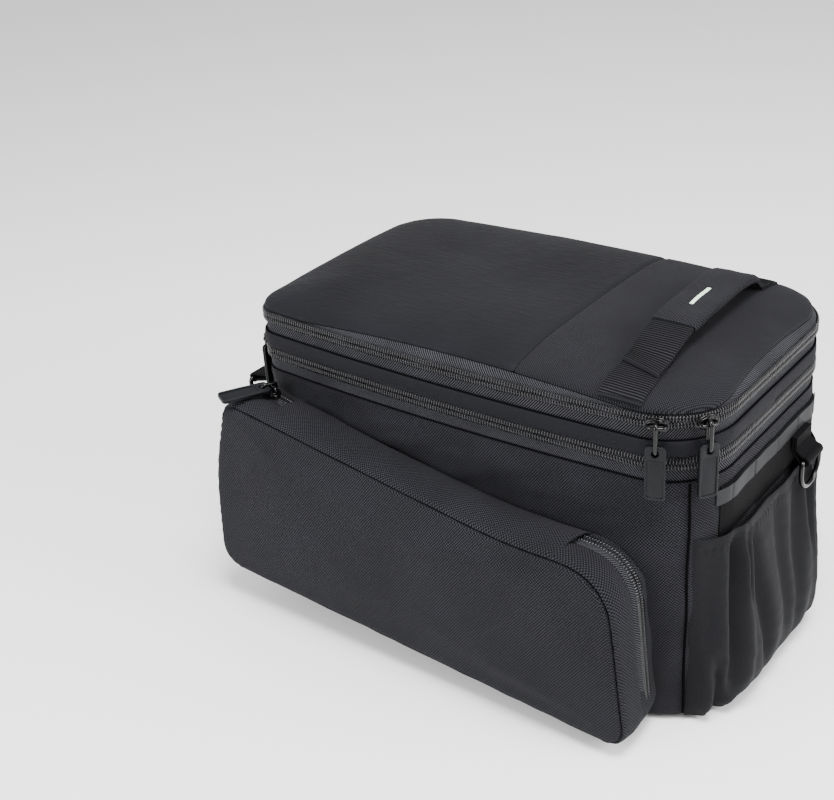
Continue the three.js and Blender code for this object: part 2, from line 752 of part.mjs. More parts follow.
// Slider, link and rubber pull in a frame with Z away from the zip and the pull towards -Y
function buildSlider(name, { place, outward, hang, linkLength }) {
  const group = new THREE.Group();
  const along = new THREE.Vector3().crossVectors(outward, hang).normalize();
  const up = new THREE.Vector3().crossVectors(outward, along).normalize();
  group.applyMatrix4(new THREE.Matrix4().makeBasis(along, up, outward).setPosition(place));
  bag.add(group);

  const sliderTop = sliderSeat + sliderThickness;
  const linkRadius = pullThickness / 2 + clearance + linkWireRadius;
  const bridgeZ = sliderTop + linkWireRadius + linkRadius + clearance;
  const bridgeHalf = sliderLength / 2 - bridgeWireRadius;
  const body = new THREE.BoxGeometry(sliderLength, sliderWidth, sliderThickness)
    .translate(0, 0, sliderSeat + sliderThickness / 2);
  const bridge = wireLoop([
    new THREE.Vector3(-bridgeHalf, 0, sliderSeat + sliderThickness / 2),
    new THREE.Vector3(bridgeHalf, 0, sliderSeat + sliderThickness / 2),
    new THREE.Vector3(bridgeHalf, 0, bridgeZ - linkRadius / 2),
    new THREE.Vector3(bridgeHalf / 2, 0, bridgeZ),
    new THREE.Vector3(-bridgeHalf / 2, 0, bridgeZ),
    new THREE.Vector3(-bridgeHalf, 0, bridgeZ - linkRadius / 2),
  ], bridgeWireRadius, new THREE.Vector3(0, 1, 0));
  addPiece(`${name}_slider`, toGeometry(toSolid(body).add(toSolid(bridge))), blackMetal, group);

  const halfTurn = (centreY, start) => Array.from({ length: linkSteps + 1 }, (_, i) => {
    const angle = start + (Math.PI * i) / linkSteps;
    return new THREE.Vector3(0, centreY + linkRadius * Math.cos(angle), bridgeZ + linkRadius * Math.sin(angle));
  });
  const linkPoints = [...halfTurn(0, -Math.PI / 2), ...halfTurn(-linkLength, Math.PI / 2)];
  addPiece(`${name}_link`, wireLoop(linkPoints, linkWireRadius, new THREE.Vector3(1, 0, 0)), blackMetal, group);

  const holeY = -linkLength - pullHoleRadius;
  addPiece(`${name}_pull`, pullGeometry().translate(0, holeY, bridgeZ - pullThickness / 2), rubber, group);
}

// Rubber slab with rounded ends and a hole, hanging from the hole's centre
function pullGeometry() {
  const half = pullWidth / 2;
  const corner = half / 3;
  const top = pullHoleRadius + pullTopBar;
  const low = top - pullLength;
  const shape = new THREE.Shape();
  shape.moveTo(-half + corner, low);
  shape.lineTo(half - corner, low);
  shape.quadraticCurveTo(half, low, half, low + corner);
  shape.lineTo(half, top - corner);
  shape.quadraticCurveTo(half, top, half - corner, top);
  shape.lineTo(-half + corner, top);
  shape.quadraticCurveTo(-half, top, -half, top - corner);
  shape.lineTo(-half, low + corner);
  shape.quadraticCurveTo(-half, low, -half + corner, low);
  const hole = new THREE.Path();
  hole.absarc(0, 0, pullHoleRadius, 0, 2 * Math.PI, true);
  shape.holes.push(hole);
  return new THREE.ExtrudeGeometry(shape, { depth: pullThickness, bevelEnabled: false, curveSegments: holeSegments });
}

// Slider on one of the two bands, at a distance along the wall
function buildBandSlider(name, distance, chainZ, linkLength) {
  const station = stationAt(distance);
  const outward = new THREE.Vector3(station.nx, station.ny, 0).normalize();
  buildSlider(name, {
    place: wallPoint(station, clearance + chainThickness, chainZ),
    outward,
    hang: new THREE.Vector3(0, 0, -1),
    linkLength,
  });
}

// Rear pocket: how far it stands off the wall by height, and across its span
const bulgeByHeight = [
  { up: 0, bulge: 0.16 },
  { up: 0.05, bulge: 0.78 },
  { up: 0.14, bulge: 0.98 },
  { up: 0.3, bulge: 1 },
  { up: 0.52, bulge: 0.72 },
  { up: 0.76, bulge: 0.47 },
  { up: 0.92, bulge: 0.37 },
  { up: 1, bulge: 0.36 },
];
const bulgeBySpan = [
  { reach: 0, bulge: 1 },
  { reach: 0.55, bulge: 0.94 },
  { reach: 0.78, bulge: 0.72 },
  { reach: 0.92, bulge: 0.34 },
  { reach: 1, bulge: 0 },
];
// Folds gathered by the elastic rim, as shares of the half span and of the fold depth
const rimFolds = [
  { at: -0.72, width: 0.05, depth: 0.7 },
  { at: -0.5, width: 0.045, depth: 1 },
  { at: -0.3, width: 0.05, depth: 0.8 },
  { at: -0.05, width: 0.06, depth: 0.5 },
  { at: 0.3, width: 0.05, depth: 0.8 },
  { at: 0.62, width: 0.05, depth: 0.7 },
];

function tableValue(rows, key, at) {
  const i = Math.max(1, rows.findIndex((row) => row[key] >= at - 1e-9));
  const [a, b] = [rows[i - 1], rows[i]];
  return THREE.MathUtils.mapLinear(at, a[key], b[key], a.bulge, b.bulge);
}

function buildRearPocket() {
  const columns = stationsBetween(-rearPocketHalfSpan, rearPocketHalfSpan, foldSpacing).map((station) => {
    const across = station.distance / rearPocketHalfSpan;
    const span = tableValue(bulgeBySpan, "reach", Math.min(1, Math.abs(across)));
    const rim = rearPocketRim + rearPocketRimRise * Math.abs(across) ** 3;
    const fold = rimFolds.reduce((sum, { at, width, depth }) => (
      sum + depth * Math.exp(-(((across - at) / width) ** 2))
    ), 0);
    const face = (lift) => bulgeByHeight.map(({ up, bulge }) => {
      const pinch = foldDepth * fold * span * Math.sin(Math.PI * Math.min(1, up * 1.2)) * (1 - up);
      const out = clearance + bulge * span * rearPocketBulge - pinch;
      return wallPoint(station, Math.max(clearance, out) + lift, THREE.MathUtils.lerp(rearPocketFoot, rim, up));
    });
    return [...face(rearPocketCloth), ...face(0).reverse()];
  });
  addPiece("rear_pocket", loftSolid(columns), thinCloth);

  for (const [name, side] of [["left", -1], ["right", 1]]) {
    const near = side * (rearPocketHalfSpan + clearance);
    const far = side * (rearPocketHalfSpan + clearance + cornerSeamWidth);
    const section = boxSection(clearance, clearance + cornerSeamThickness, baseEdgeRadius, bodyHeight);
    addPiece(`corner_seam_${name}`, wallStrip(section, Math.min(near, far), Math.max(near, far)), webbing);
  }
}

function buildRearWebbing() {
  const top = clearance + webbingThickness;
  const bandSection = boxSection(clearance, top, rearWebbingFoot, rearWebbingFoot + rearWebbingHeight);
  addPiece("rear_webbing", wallStrip(bandSection, -rearWebbingHalfSpan, rearWebbingHalfSpan), webbing);
  const stripSection = boxSection(
    top + clearance,
    top + clearance + reflectorThickness,
    reflectorFoot,
    reflectorFoot + reflectorHeight,
  );
  addPiece("reflective_strip", wallStrip(stripSection, -rearWebbingHalfSpan, rearWebbingHalfSpan), greyStrip);
}

// Tab of folded webbing and its ring, in a frame with X along the bar, Y up and Z away from the wall
function buildTab(name, { place, along, outward, seat, reach }) {
  const group = new THREE.Group();
  const up = new THREE.Vector3(0, 0, 1);
  group.applyMatrix4(new THREE.Matrix4().makeBasis(along, up, outward).setPosition(place));
  bag.add(group);

  const barRadius = ringWireRadius + clearance;
  const rollRadius = barRadius + tabWebbing;
  const plateOut = seat + 2 * tabWebbing;
  const plateFoot = tabDrop + tabWebbing;
  const roll = Array.from({ length: rollSteps + 1 }, (_, i) => {
    const angle = THREE.MathUtils.lerp(rollStart, rollEnd, i / rollSteps);
    return { out: reach + rollRadius * Math.cos(angle), y: rollRadius * Math.sin(angle) };
  });
  const outline = [{ out: seat, y: tabDrop }, ...roll, { out: plateOut, y: plateFoot }, { out: seat, y: plateFoot }];
  const eye = outline.map(({ out, y }) => {
    const scale = barRadius / Math.hypot(out - reach, y);
    return { out: reach + (out - reach) * scale, y: y * scale };
  });
  const end = (points, side) => points.map(({ out, y }) => new THREE.Vector3((side * tabWidth) / 2, y, out));
  const loop = loftSolid([end(outline, -1), end(outline, 1), end(eye, 1), end(eye, -1)], true);
  const plate = boxBetween(
    new THREE.Vector3(-tabWidth / 2, tabDrop + tabWebbing / 2, seat),
    new THREE.Vector3(tabWidth / 2, tabDrop + tabPlateHeight, plateOut),
  );
  const tab = toGeometry(toSolid(loop).add(toSolid(plate)));
  addPiece(`${name}_tab`, tab, webbing, group);

  const half = ringWidth / 2;
  const cut = ringWireRadius / 2;
  const points = [
    ...[-1, 0, 1].map((share) => new THREE.Vector3(share * (half - cut), 0, 0)),
    new THREE.Vector3(half, -cut, 0),
    ...Array.from({ length: ringSteps + 1 }, (_, i) => {
      const angle = (Math.PI * i) / ringSteps;
      return new THREE.Vector3(half * Math.cos(angle), -(ringDrop - half) - half * Math.sin(angle), 0);
    }),
    new THREE.Vector3(-half, -cut, 0),
  ];
  const ring = addPiece(`${name}_ring`, wireLoop(points, ringWireRadius, new THREE.Vector3(0, 0, 1)), blackMetal, group);
  ring.position.set(0, 0, reach);
}

buildBody();
buildZipBands();
const rearLid = buildLid();
buildHandle(rearLid);
buildSidePocket("left", -1);
buildSidePocket("right", 1);
buildRearPocket();
buildRearWebbing();

const rearFaceX = bodyLength / 2;
buildTab("rear", {
  place: new THREE.Vector3(rearFaceX, rearTabY, rearTabZ),
  along: new THREE.Vector3(0, 1, 0),
  outward: new THREE.Vector3(1, 0, 0),
  seat: 2 * clearance + webbingThickness,
  reach: rearTabReach,
});
buildTab("front", {
  place: new THREE.Vector3(-rearFaceX, frontTabY, frontTabZ),
  along: new THREE.Vector3(0, -1, 0),
  outward: new THREE.Vector3(-1, 0, 0),
  seat: clearance,
  reach: frontTabReach,
});

// Both sliders of the upper zip meet at the left rear corner; the lower zip's slider is on the front face
buildBandSlider("upper_zip_first", firstSliderDistance, upperChainZ, upperLinkLength);
buildBandSlider("upper_zip_second", secondSliderDistance, upperChainZ, upperLinkLength);
buildBandSlider("lower_zip", frontDistance(frontSliderY), lowerChainZ, lowerLinkLength);

export default bag;
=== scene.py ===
# Padded bicycle rack bag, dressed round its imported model.
# Metres: +X points to the rear of the bicycle, +Y to its right side and +Z up.
import math

import bmesh
import bpy
import numpy as np
from mathutils import Matrix, Vector
from mathutils.bvhtree import BVHTree


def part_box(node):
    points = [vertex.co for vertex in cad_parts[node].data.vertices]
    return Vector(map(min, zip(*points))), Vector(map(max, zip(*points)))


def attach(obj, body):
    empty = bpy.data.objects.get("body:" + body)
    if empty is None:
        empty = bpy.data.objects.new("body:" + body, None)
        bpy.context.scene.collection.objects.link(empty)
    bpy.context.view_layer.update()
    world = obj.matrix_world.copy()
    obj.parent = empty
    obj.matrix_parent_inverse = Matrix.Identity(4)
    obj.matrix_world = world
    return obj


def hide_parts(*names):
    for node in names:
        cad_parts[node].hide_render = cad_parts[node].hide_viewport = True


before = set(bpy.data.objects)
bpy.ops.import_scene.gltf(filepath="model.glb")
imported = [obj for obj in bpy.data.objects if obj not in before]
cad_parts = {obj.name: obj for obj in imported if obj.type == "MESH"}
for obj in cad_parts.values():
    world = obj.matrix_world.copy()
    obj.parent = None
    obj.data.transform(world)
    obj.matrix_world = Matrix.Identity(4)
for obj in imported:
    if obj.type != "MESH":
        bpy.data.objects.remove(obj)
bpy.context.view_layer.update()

MM = 0.001
BAG = "bag"

# Photograph's frame and camera
IMAGE_WIDTH = 834
FOCAL_PIXELS = 1362.31
SENSOR_WIDTH = 36.0
CAMERA_PLACE = Vector((0.48326, -0.74422, 0.63817))
CAMERA_RIGHT = Vector((0.79824, 0.59892, -0.06402))
CAMERA_DOWN = Vector((0.23798, -0.41122, -0.87992))
CAMERA_FORWARD = Vector((-0.55333, 0.68716, -0.47078))

# Plan of the bag
shell_low, shell_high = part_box("body_shell")
SIDE_BOW = 5 * MM
LENGTH = shell_high.x - shell_low.x
WIDTH = shell_high.y - shell_low.y - 2 * SIDE_BOW
HEIGHT = shell_high.z
REAR_RADIUS = 48 * MM
FRONT_LEFT_RADIUS = 20 * MM
FRONT_RIGHT_RADIUS = 42 * MM
BASE_RADIUS = 8 * MM
BODY_WALL = 4.5 * MM
BODY_BULGE = 1.6 * MM

# Zips round the top
LOWER_CHAIN_Z = sum(p.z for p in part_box("lower_zip_chain")) / 2
UPPER_CHAIN_Z = sum(p.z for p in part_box("upper_zip_chain")) / 2
CHAIN_WIDTH = 8.4 * MM
TOOTH_PITCH = 2.0 * MM
TOOTH_RADIUS = 0.58 * MM
TAPE_INSET = 0.9 * MM
TAPE_THICKNESS = 0.8 * MM
BAND_SEAM_Z = UPPER_CHAIN_Z - 12.6 * MM
CHAIN_HALF = CHAIN_WIDTH / 2

# Lid
RIM_SIDE_RISE = 9.6 * MM
RIM_END_RISE = 11 * MM
RIM_CORNER_RISE = 5 * MM
FAR_CORNER_EASE = 0.7
LID_INSET = 5.4 * MM
LID_CORNER_INSET = 0.8 * MM
CROWN_Z = max(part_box(n)[1].z for n in ("lid_front_panel", "lid_rear_panel"))
CORNER_REACH = 0.72
LID_SEAM_X = 48 * MM
LID_THICKNESS = 4 * MM

# Handle
anchor_low, anchor_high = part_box("handle_anchor_left")
HANDLE_X = (anchor_low.x + anchor_high.x) / 2
STRAP_WIDTH = anchor_high.x - anchor_low.x
ANCHOR_END = -anchor_low.y + 3.5 * MM
STRAP_TOP_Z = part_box("handle_strap")[1].z
STRAP_REACH = 82 * MM
STRAP_THICKNESS = 2.4 * MM
ANCHOR_THICKNESS = 1.6 * MM
SLEEVE_NEAR, SLEEVE_FAR = -34 * MM, 61 * MM
STRIPE_Y = 3 * MM
HANDLE_GAP = 0.3 * MM
STRAP_SLANT = 4 * MM
SLEEVE_THICKNESS = 2.0 * MM
RIB_PITCH = 1.9 * MM

# Side pockets
POCKET_DEPTH = 45 * MM
POCKET_LENGTH = 351 * MM
POCKET_HEIGHT = 166 * MM
POCKET_REAR_X = 153 * MM
POCKET_FLOOR_Z = 11 * MM
PANEL_SEAM = 3.4 * MM
PANEL_CROWN = 3.2 * MM
ZIP_START = 3 * MM / POCKET_DEPTH
ZIP_END = 23 * MM / POCKET_DEPTH
ZIP_MIDDLE = (ZIP_START + ZIP_END) / 2
COIL_SHARE = ZIP_MIDDLE - 0.05
FLAP_END = 0.95
FLAP_ROWS = 22

# Rear face
POCKET_HALF_SPAN = 92 * MM
REAR_RIM_Z = 144 * MM
REAR_FOOT_Z = 4 * MM
REAR_BULGE = 19 * MM
WEBBING_HALF_SPAN = 72 * MM
POCKET_MIDDLE_COLUMN, POCKET_LOW_ROW = 115, 30
STRIP_HEIGHT = 9.5 * MM

# Sliders and pulls
FIRST_SLIDER = -114 * MM
SECOND_SLIDER = -86 * MM
PULL_LENGTH = 38 * MM
PULL_WIDTH = 13 * MM
PULL_THICKNESS = 1.7 * MM
PULL_RIM_THICKNESS = 3.1 * MM
SLIDER_SEAT = 2.1 * MM
PULL_HOLE = 2.4 * MM
LINK_WIRE = 1.35 * MM
RING_WIRE = 1.7 * MM

# Cloth and meshes
CREASE = 50
NEARBY = 1.5 * MM
THREAD_PITCH = 0.75 * MM
LATTICE_PITCH = 1.6 * MM
TWILL_PITCH = 1.9 * MM
FLAT_RIB_PITCH = 1.4 * MM
PUCKER_PITCH = 9 * MM
HEM_RADIUS = 1.4 * MM
CORD_RADIUS = 0.9 * MM


def smooth_step(value):
    """Eases a share from 0 to 1"""
    value = np.clip(value, 0.0, 1.0)
    return value * value * (3 - 2 * value)


def bump(value, centre, width):
    """Rounded hump of height 1 round a centre"""
    return np.exp(-(((value - centre) / width) ** 2))


def unit(vectors):
    """Vectors of length 1 in the same directions"""
    return vectors / np.maximum(np.linalg.norm(vectors, axis=-1, keepdims=True), 1e-12)


def way_along(path):
    """Length of the way to each point of a path"""
    steps = np.linalg.norm(np.diff(path, axis=0), axis=1)
    return np.concatenate([[0], np.cumsum(steps)])


def on_path(grid, way, at):
    """Values of a path's grid at lengths of the way along it"""
    return np.stack([np.interp(at, way, grid[:, k]) for k in range(3)], -1)


class Ripple:
    """Smooth uneven field over two lengths, the same on every run"""

    def __init__(self, wavelength, seed, waves=7):
        source = np.random.RandomState(seed)
        angles = source.uniform(0, math.pi, waves)
        sizes = 2 * math.pi / (wavelength * source.uniform(0.7, 1.6, waves))
        self.a = np.cos(angles) * sizes
        self.b = np.sin(angles) * sizes
        self.phase = source.uniform(0, 2 * math.pi, waves)

    def __call__(self, u, v):
        total = sum(np.sin(a * u + b * v + p) for a, b, p in zip(self.a, self.b, self.phase))
        return total / math.sqrt(len(self.a))


# Plan of the bag
def plan_line():
    """Closed line of the bag's plan, from the middle of the rear face towards the right side"""
    corners = [
        (1, 1, REAR_RADIUS, 0),
        (-1, 1, FRONT_RIGHT_RADIUS, 90),
        (-1, -1, FRONT_LEFT_RADIUS, 180),
        (1, -1, REAR_RADIUS, 270),
    ]
    arcs = []
    for side_x, side_y, radius, start in corners:
        turn = np.radians(start + np.linspace(0, 90, 40))
        centre = np.array([side_x * (LENGTH / 2 - radius), side_y * (WIDTH / 2 - radius)])
        arcs.append(centre + radius * np.stack([np.cos(turn), np.sin(turn)], 1))
    middle = np.array([[LENGTH / 2, 0.0]])
    points = [middle]
    for i, arc in enumerate(arcs):
        points.append(arc)
        if i in (0, 2):
            share = np.linspace(0, 1, 80)[1:-1, None]
            side = arc[-1] * (1 - share) + arcs[i + 1][0] * share
            side[:, 1:] += np.sign(arc[-1, 1]) * SIDE_BOW * 4 * share * (1 - share)
            points.append(side)
    points.append(middle)
    line = np.concatenate(points)
    return line, way_along(line)


PLAN, PLAN_S = plan_line()
PERIMETER = PLAN_S[-1]


def plan_xy(s):
    s = np.mod(s, PERIMETER)
    return np.stack([np.interp(s, PLAN_S, PLAN[:, 0]), np.interp(s, PLAN_S, PLAN[:, 1])], -1)


def plan_normal(s):
    tangent = unit(plan_xy(s + NEARBY) - plan_xy(s - NEARBY))
    return np.stack([tangent[..., 1], -tangent[..., 0]], -1)


def wall(s, out, z):
    """Points off the wall: s along it, out from it and z up"""
    s, out, z = np.broadcast_arrays(s, out, z)
    flat = plan_xy(s) + plan_normal(s) * out[..., None]
    return np.concatenate([flat, z[..., None]], -1)


def half_width(x, side):
    """Distance from the middle plane to the wall on one side"""
    chosen = PLAN[PLAN[:, 1] * side > 0.3 * WIDTH]
    order = np.argsort(chosen[:, 0])
    return np.interp(x, chosen[order, 0], np.abs(chosen[order, 1]))


def front_distance(y):
    """Distance along the plan to a place on the flat of the front face"""
    flat = np.abs(PLAN[:, 0] + LENGTH / 2) < 1e-6
    return np.interp(-y, -PLAN[flat, 1], PLAN_S[flat])


# Meshes from grids of points
def add_object(name, data):
    """Object for a mesh, curve, lamp or camera, placed in the scene"""
    made = bpy.data.objects.new(name, data)
    bpy.context.scene.collection.objects.link(made)
    return made


def make_object(name, vertices, faces, uvs=None, crease=CREASE):
    mesh = bpy.data.meshes.new(name)
    mesh.from_pydata([tuple(v) for v in np.asarray(vertices, float)], [], [tuple(f) for f in faces])
    if uvs is not None:
        layer = mesh.uv_layers.new(name="UVMap")
        layer.data.foreach_set("uv", np.asarray(uvs, np.float32).reshape(-1))
    mesh.shade_smooth()
    mesh.set_sharp_from_angle(angle=math.radians(crease))
    return add_object(name, mesh)


def grid_cells(rows, cols, ring):
    a, b = np.meshgrid(np.arange(rows - 1), np.arange(cols if ring else cols - 1), indexing="ij")
    return a.reshape(-1), b.reshape(-1)


def grid_normals(points, ring):
    rise = np.gradient(points, axis=0)
    if ring:
        wide = np.concatenate([points[:, -1:], points, points[:, :1]], axis=1)
        along = (wide[:, 2:] - wide[:, :-2]) / 2
    else:
        along = np.gradient(points, axis=1)
    return unit(np.cross(along, rise))


def cloth(name, points, uv, thickness, ring=False):
    """Closed sheet whose outside lies on a grid of points; a ring joins its last column to its first"""
    rows, cols = points.shape[:2]
    inner = points - grid_normals(points, ring) * thickness
    vertices = np.concatenate([points.reshape(-1, 3), inner.reshape(-1, 3)])
    count = rows * cols
    a, b = grid_cells(rows, cols, ring)
    c = (b + 1) % cols
    front = np.stack([a * cols + b, a * cols + c, (a + 1) * cols + c, (a + 1) * cols + b], 1)
    front_uv = np.stack([uv[a, b], uv[a, b + 1], uv[a + 1, b + 1], uv[a + 1, b]], 1)
    faces = [front, front[:, ::-1] + count]
    uvs = [front_uv, front_uv[:, ::-1]]
    b = np.arange(cols if ring else cols - 1)
    c = (b + 1) % cols
    faces.append(np.stack([b, b + count, c + count, c], 1))
    uvs.append(np.stack([uv[0, b], uv[0, b], uv[0, b + 1], uv[0, b + 1]], 1))
    top = (rows - 1) * cols
    faces.append(np.stack([top + b, top + c, top + c + count, top + b + count], 1))
    uvs.append(np.stack([uv[-1, b], uv[-1, b + 1], uv[-1, b + 1], uv[-1, b]], 1))
    if not ring:
        r = np.arange(rows - 1)
        left = r * cols
        faces.append(np.stack([left, left + cols, left + cols + count, left + count], 1))
        uvs.append(np.stack([uv[r, 0], uv[r + 1, 0], uv[r + 1, 0], uv[r, 0]], 1))
        right = left + cols - 1
        faces.append(np.stack([right, right + count, right + cols + count, right + cols], 1))
        uvs.append(np.stack([uv[r, -1], uv[r, -1], uv[r + 1, -1], uv[r + 1, -1]], 1))
    return make_object(name, vertices, np.concatenate(faces), np.concatenate(uvs))


def ring_uv(s, v, cols):
    """UV grid of a ring: one more column than the points have"""
    rows = len(v)
    u = np.broadcast_to(np.linspace(0, 1, cols + 1) * s, (rows, cols + 1))
    return np.stack([u, np.broadcast_to(np.asarray(v)[:, None], u.shape)], -1)


def uv_grid(u, v):
    """UV grid of cloth from the lengths along its columns and rows"""
    return np.stack(np.broadcast_arrays(np.asarray(u)[None], np.asarray(v)[:, None]), -1)


def swept(loops, closed=False):
    """Vertices and faces of a tube through loops with equal counts, with caps unless it is closed"""
    loops = np.asarray(loops)
    rows, cols = loops.shape[:2]
    last = rows if closed else rows - 1
    a, b = np.meshgrid(np.arange(last), np.arange(cols), indexing="ij")
    a, b = a.reshape(-1), b.reshape(-1)
    up, c = (a + 1) % rows, (b + 1) % cols
    faces = np.stack([a * cols + b, a * cols + c, up * cols + c, up * cols + b], 1).tolist()
    if not closed:
        faces.append(list(range(cols))[::-1])
        faces.append([(rows - 1) * cols + k for k in range(cols)])
    return loops.reshape(-1, 3), faces


def tube_loops(path, radius, sides, closed=False, up=(0, 0, 1)):
    """Rings of points round a path"""
    path = np.asarray(path, float)
    if closed:
        tangent = np.roll(path, -1, 0) - np.roll(path, 1, 0)
    else:
        tangent = np.gradient(path, axis=0)
    tangent = unit(tangent)
    side = unit(np.cross(tangent, np.broadcast_to(np.asarray(up, float), path.shape)))
    lift = np.cross(side, tangent)
    turn = np.linspace(0, 2 * math.pi, sides, endpoint=False)
    ring = side[:, None] * np.cos(turn)[None, :, None] + lift[:, None] * np.sin(turn)[None, :, None]
    return path[:, None] + ring * radius


def tube(name, path, radius, sides=8, closed=False, up=(0, 0, 1)):
    vertices, faces = swept(tube_loops(path, radius, sides, closed, up), closed)
    return outward(make_object(name, vertices, faces))


def outward(made):
    """Turns an object's faces to point out"""
    work = bmesh.new()
    work.from_mesh(made.data)
    bmesh.ops.recalc_face_normals(work, faces=work.faces)
    work.to_mesh(made.data)
    work.free()
    return made


def gather(name, parts, crease=CREASE):
    """One object from many lists of vertices and faces"""
    vertices, faces, count = [], [], 0
    for some, cells in parts:
        vertices.append(np.asarray(some))
        faces.extend([[k + count for k in cell] for cell in cells])
        count += len(some)
    return outward(make_object(name, np.concatenate(vertices), faces, crease=crease))


def piece(made, material, slot, *nodes, body=BAG):
    """Gives an object its material and body, and hides the CAD nodes that it stands for; the slot argument
    is not used
    """
    made.data.materials.clear()
    made.data.materials.append(material)
    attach(made, body)
    if nodes:
        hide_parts(*nodes)
    return made


# Materials
def grey(level, blue):
    """Nearly neutral colour with its own share of blue"""
    return level, level, blue


class Look:
    """A principled material and short ways to build its node graph"""

    def __init__(self, name, color, roughness, **settings):
        self.material = bpy.data.materials.new(name)
        self.material.use_nodes = True
        self.nodes = self.material.node_tree.nodes
        self.shader = self.nodes["Principled BSDF"]
        self.shader.inputs["Base Color"].default_value = (*color, 1)
        self.shader.inputs["Roughness"].default_value = roughness
        for key, value in settings.items():
            self.shader.inputs[key.replace("_", " ")].default_value = value

    def put(self, socket, value):
        if isinstance(value, bpy.types.NodeSocket):
            self.material.node_tree.links.new(value, socket)
        else:
            socket.default_value = value

    def math(self, operation, *values):
        node = self.nodes.new("ShaderNodeMath")
        node.operation = operation
        for socket, value in zip(node.inputs, values):
            self.put(socket, value)
        return node.outputs[0]

    def uv(self):
        """u and v of the cloth in metres"""
        split = self.nodes.new("ShaderNodeSeparateXYZ")
        self.put(split.inputs[0], self.nodes.new("ShaderNodeUVMap").outputs[0])
        return split.outputs[0], split.outputs[1]

    def noise(self, scale, detail=2.0, stretch=None):
        vector = self.nodes.new("ShaderNodeTexCoord").outputs["Object"]
        if stretch:
            mapping = self.nodes.new("ShaderNodeMapping")
            self.put(mapping.inputs["Vector"], vector)
            mapping.inputs["Scale"].default_value = stretch
            vector = mapping.outputs[0]
        node = self.nodes.new("ShaderNodeTexNoise")
        self.put(node.inputs["Vector"], vector)
        node.inputs["Scale"].default_value = scale
        node.inputs["Detail"].default_value = detail
        return node.outputs[0]

    def mix(self, share, dark, light):
        node = self.nodes.new("ShaderNodeMix")
        node.data_type = "RGBA"
        self.put(node.inputs["Factor"], share)
        colors = [socket for socket in node.inputs if socket.type == "RGBA"]
        for socket, color in zip(colors, (dark, light)):
            self.put(socket, (*color, 1))
        return node.outputs[2]

    def range(self, value, low, high, to_low=0.0, to_high=1.0):
        node = self.nodes.new("ShaderNodeMapRange")
        for socket, given in zip(node.inputs, (value, low, high, to_low, to_high)):
            self.put(socket, given)
        return node.outputs[0]

    def patches(self, noise, to_low=0.0, to_high=1.0):
        """Noise spread from the values that it mostly has over a range"""
        return self.range(noise, 0.3, 0.7, to_low, to_high)

    def bump(self, height, distance, strength=1.0, below=None):
        node = self.nodes.new("ShaderNodeBump")
        node.inputs["Strength"].default_value = strength
        node.inputs["Distance"].default_value = distance
        self.put(node.inputs["Height"], height)
        if below is not None:
            self.put(node.inputs["Normal"], below)
        return node.outputs[0]

    def wave(self, u, v, along, across, pitch):
        """Sine of the way along a direction over the cloth, one turn for each pitch"""
        way = self.math("ADD", self.math("MULTIPLY", u, along), self.math("MULTIPLY", v, across))
        return self.math("SINE", self.math("MULTIPLY", way, 2 * math.pi / pitch))

    def finish(self, color=None, roughness=None, normal=None):
        for key, value in (("Base Color", color), ("Roughness", roughness), ("Normal", normal)):
            if value is not None:
                self.put(self.shader.inputs[key], value)
        return self.material


def woven(name, dark, light, pitch, depth, roughness=0.78, turn=0.0, crumple=0.5, fade=0.35):
    """Plain weave: threads pass over and under each other, with slow changes of tone and fine crumpling"""
    look = Look(name, dark, roughness, Sheen_Weight=0.015, Sheen_Roughness=0.5, Specular_IOR_Level=0.07)
    u, v = look.uv()
    c, s = math.cos(turn), math.sin(turn)
    warp = look.wave(u, v, c, s, 2 * pitch)
    weft = look.wave(u, v, -s, c, 2 * pitch)
    over = look.range(look.math("MULTIPLY", warp, weft), -0.5, 0.5)
    patch = look.noise(scale=22.0, detail=3.0)
    tone = look.math("MULTIPLY", over, look.patches(patch, 1 - fade, 1.0))
    fine = look.bump(look.noise(scale=900.0, detail=1.0), distance=0.08 * MM, strength=0.25)
    crumples = look.bump(look.noise(scale=55.0, detail=4.0), distance=0.9 * MM, strength=crumple, below=fine)
    return look.finish(
        color=look.mix(tone, dark, light),
        roughness=look.patches(patch, roughness - 0.07, roughness + 0.06),
        normal=look.bump(over, distance=depth, below=crumples),
    )


def twill(name, dark, light, pitch, mirror=None):
    """Diagonal ribs of a zip tape; above the height of the mirror they lean the other way"""
    look = Look(name, dark, 0.7, Sheen_Weight=0.01, Specular_IOR_Level=0.08)
    u, v = look.uv()
    if mirror is not None:
        v = look.math("ABSOLUTE", look.math("SUBTRACT", v, mirror))
    rib = look.range(look.wave(u, v, 1.0, 0.85, pitch), -0.6, 0.8)
    patch = look.noise(scale=30.0)
    tone = look.math("MULTIPLY", rib, look.patches(patch, 0.7, 1.0))
    crumples = look.bump(look.noise(scale=120.0), distance=0.3 * MM, strength=0.4)
    normal = look.bump(rib, distance=0.55 * MM, below=crumples)
    return look.finish(look.mix(tone, dark, light), normal=normal)


def soft_shell():
    """Smooth stretch cloth with faint wrinkles across the lid"""
    look = Look("soft_shell", (0.005, 0.005, 0.0065), 0.72, Sheen_Weight=0.015, Specular_IOR_Level=0.09)
    wrinkle = look.noise(scale=260.0, detail=2.5, stretch=(0.42, 1.5, 0.8))
    grain = look.bump(look.noise(scale=1400.0, detail=1.0), distance=0.06 * MM, strength=0.6)
    patch = look.noise(scale=9.0)
    return look.finish(
        color=look.mix(look.patches(patch), grey(0.0032, 0.0044), grey(0.0072, 0.0094)),
        roughness=look.range(wrinkle, 0.35, 0.65, 0.66, 0.78),
        normal=look.bump(wrinkle, distance=0.9 * MM, strength=0.8, below=grain),
    )


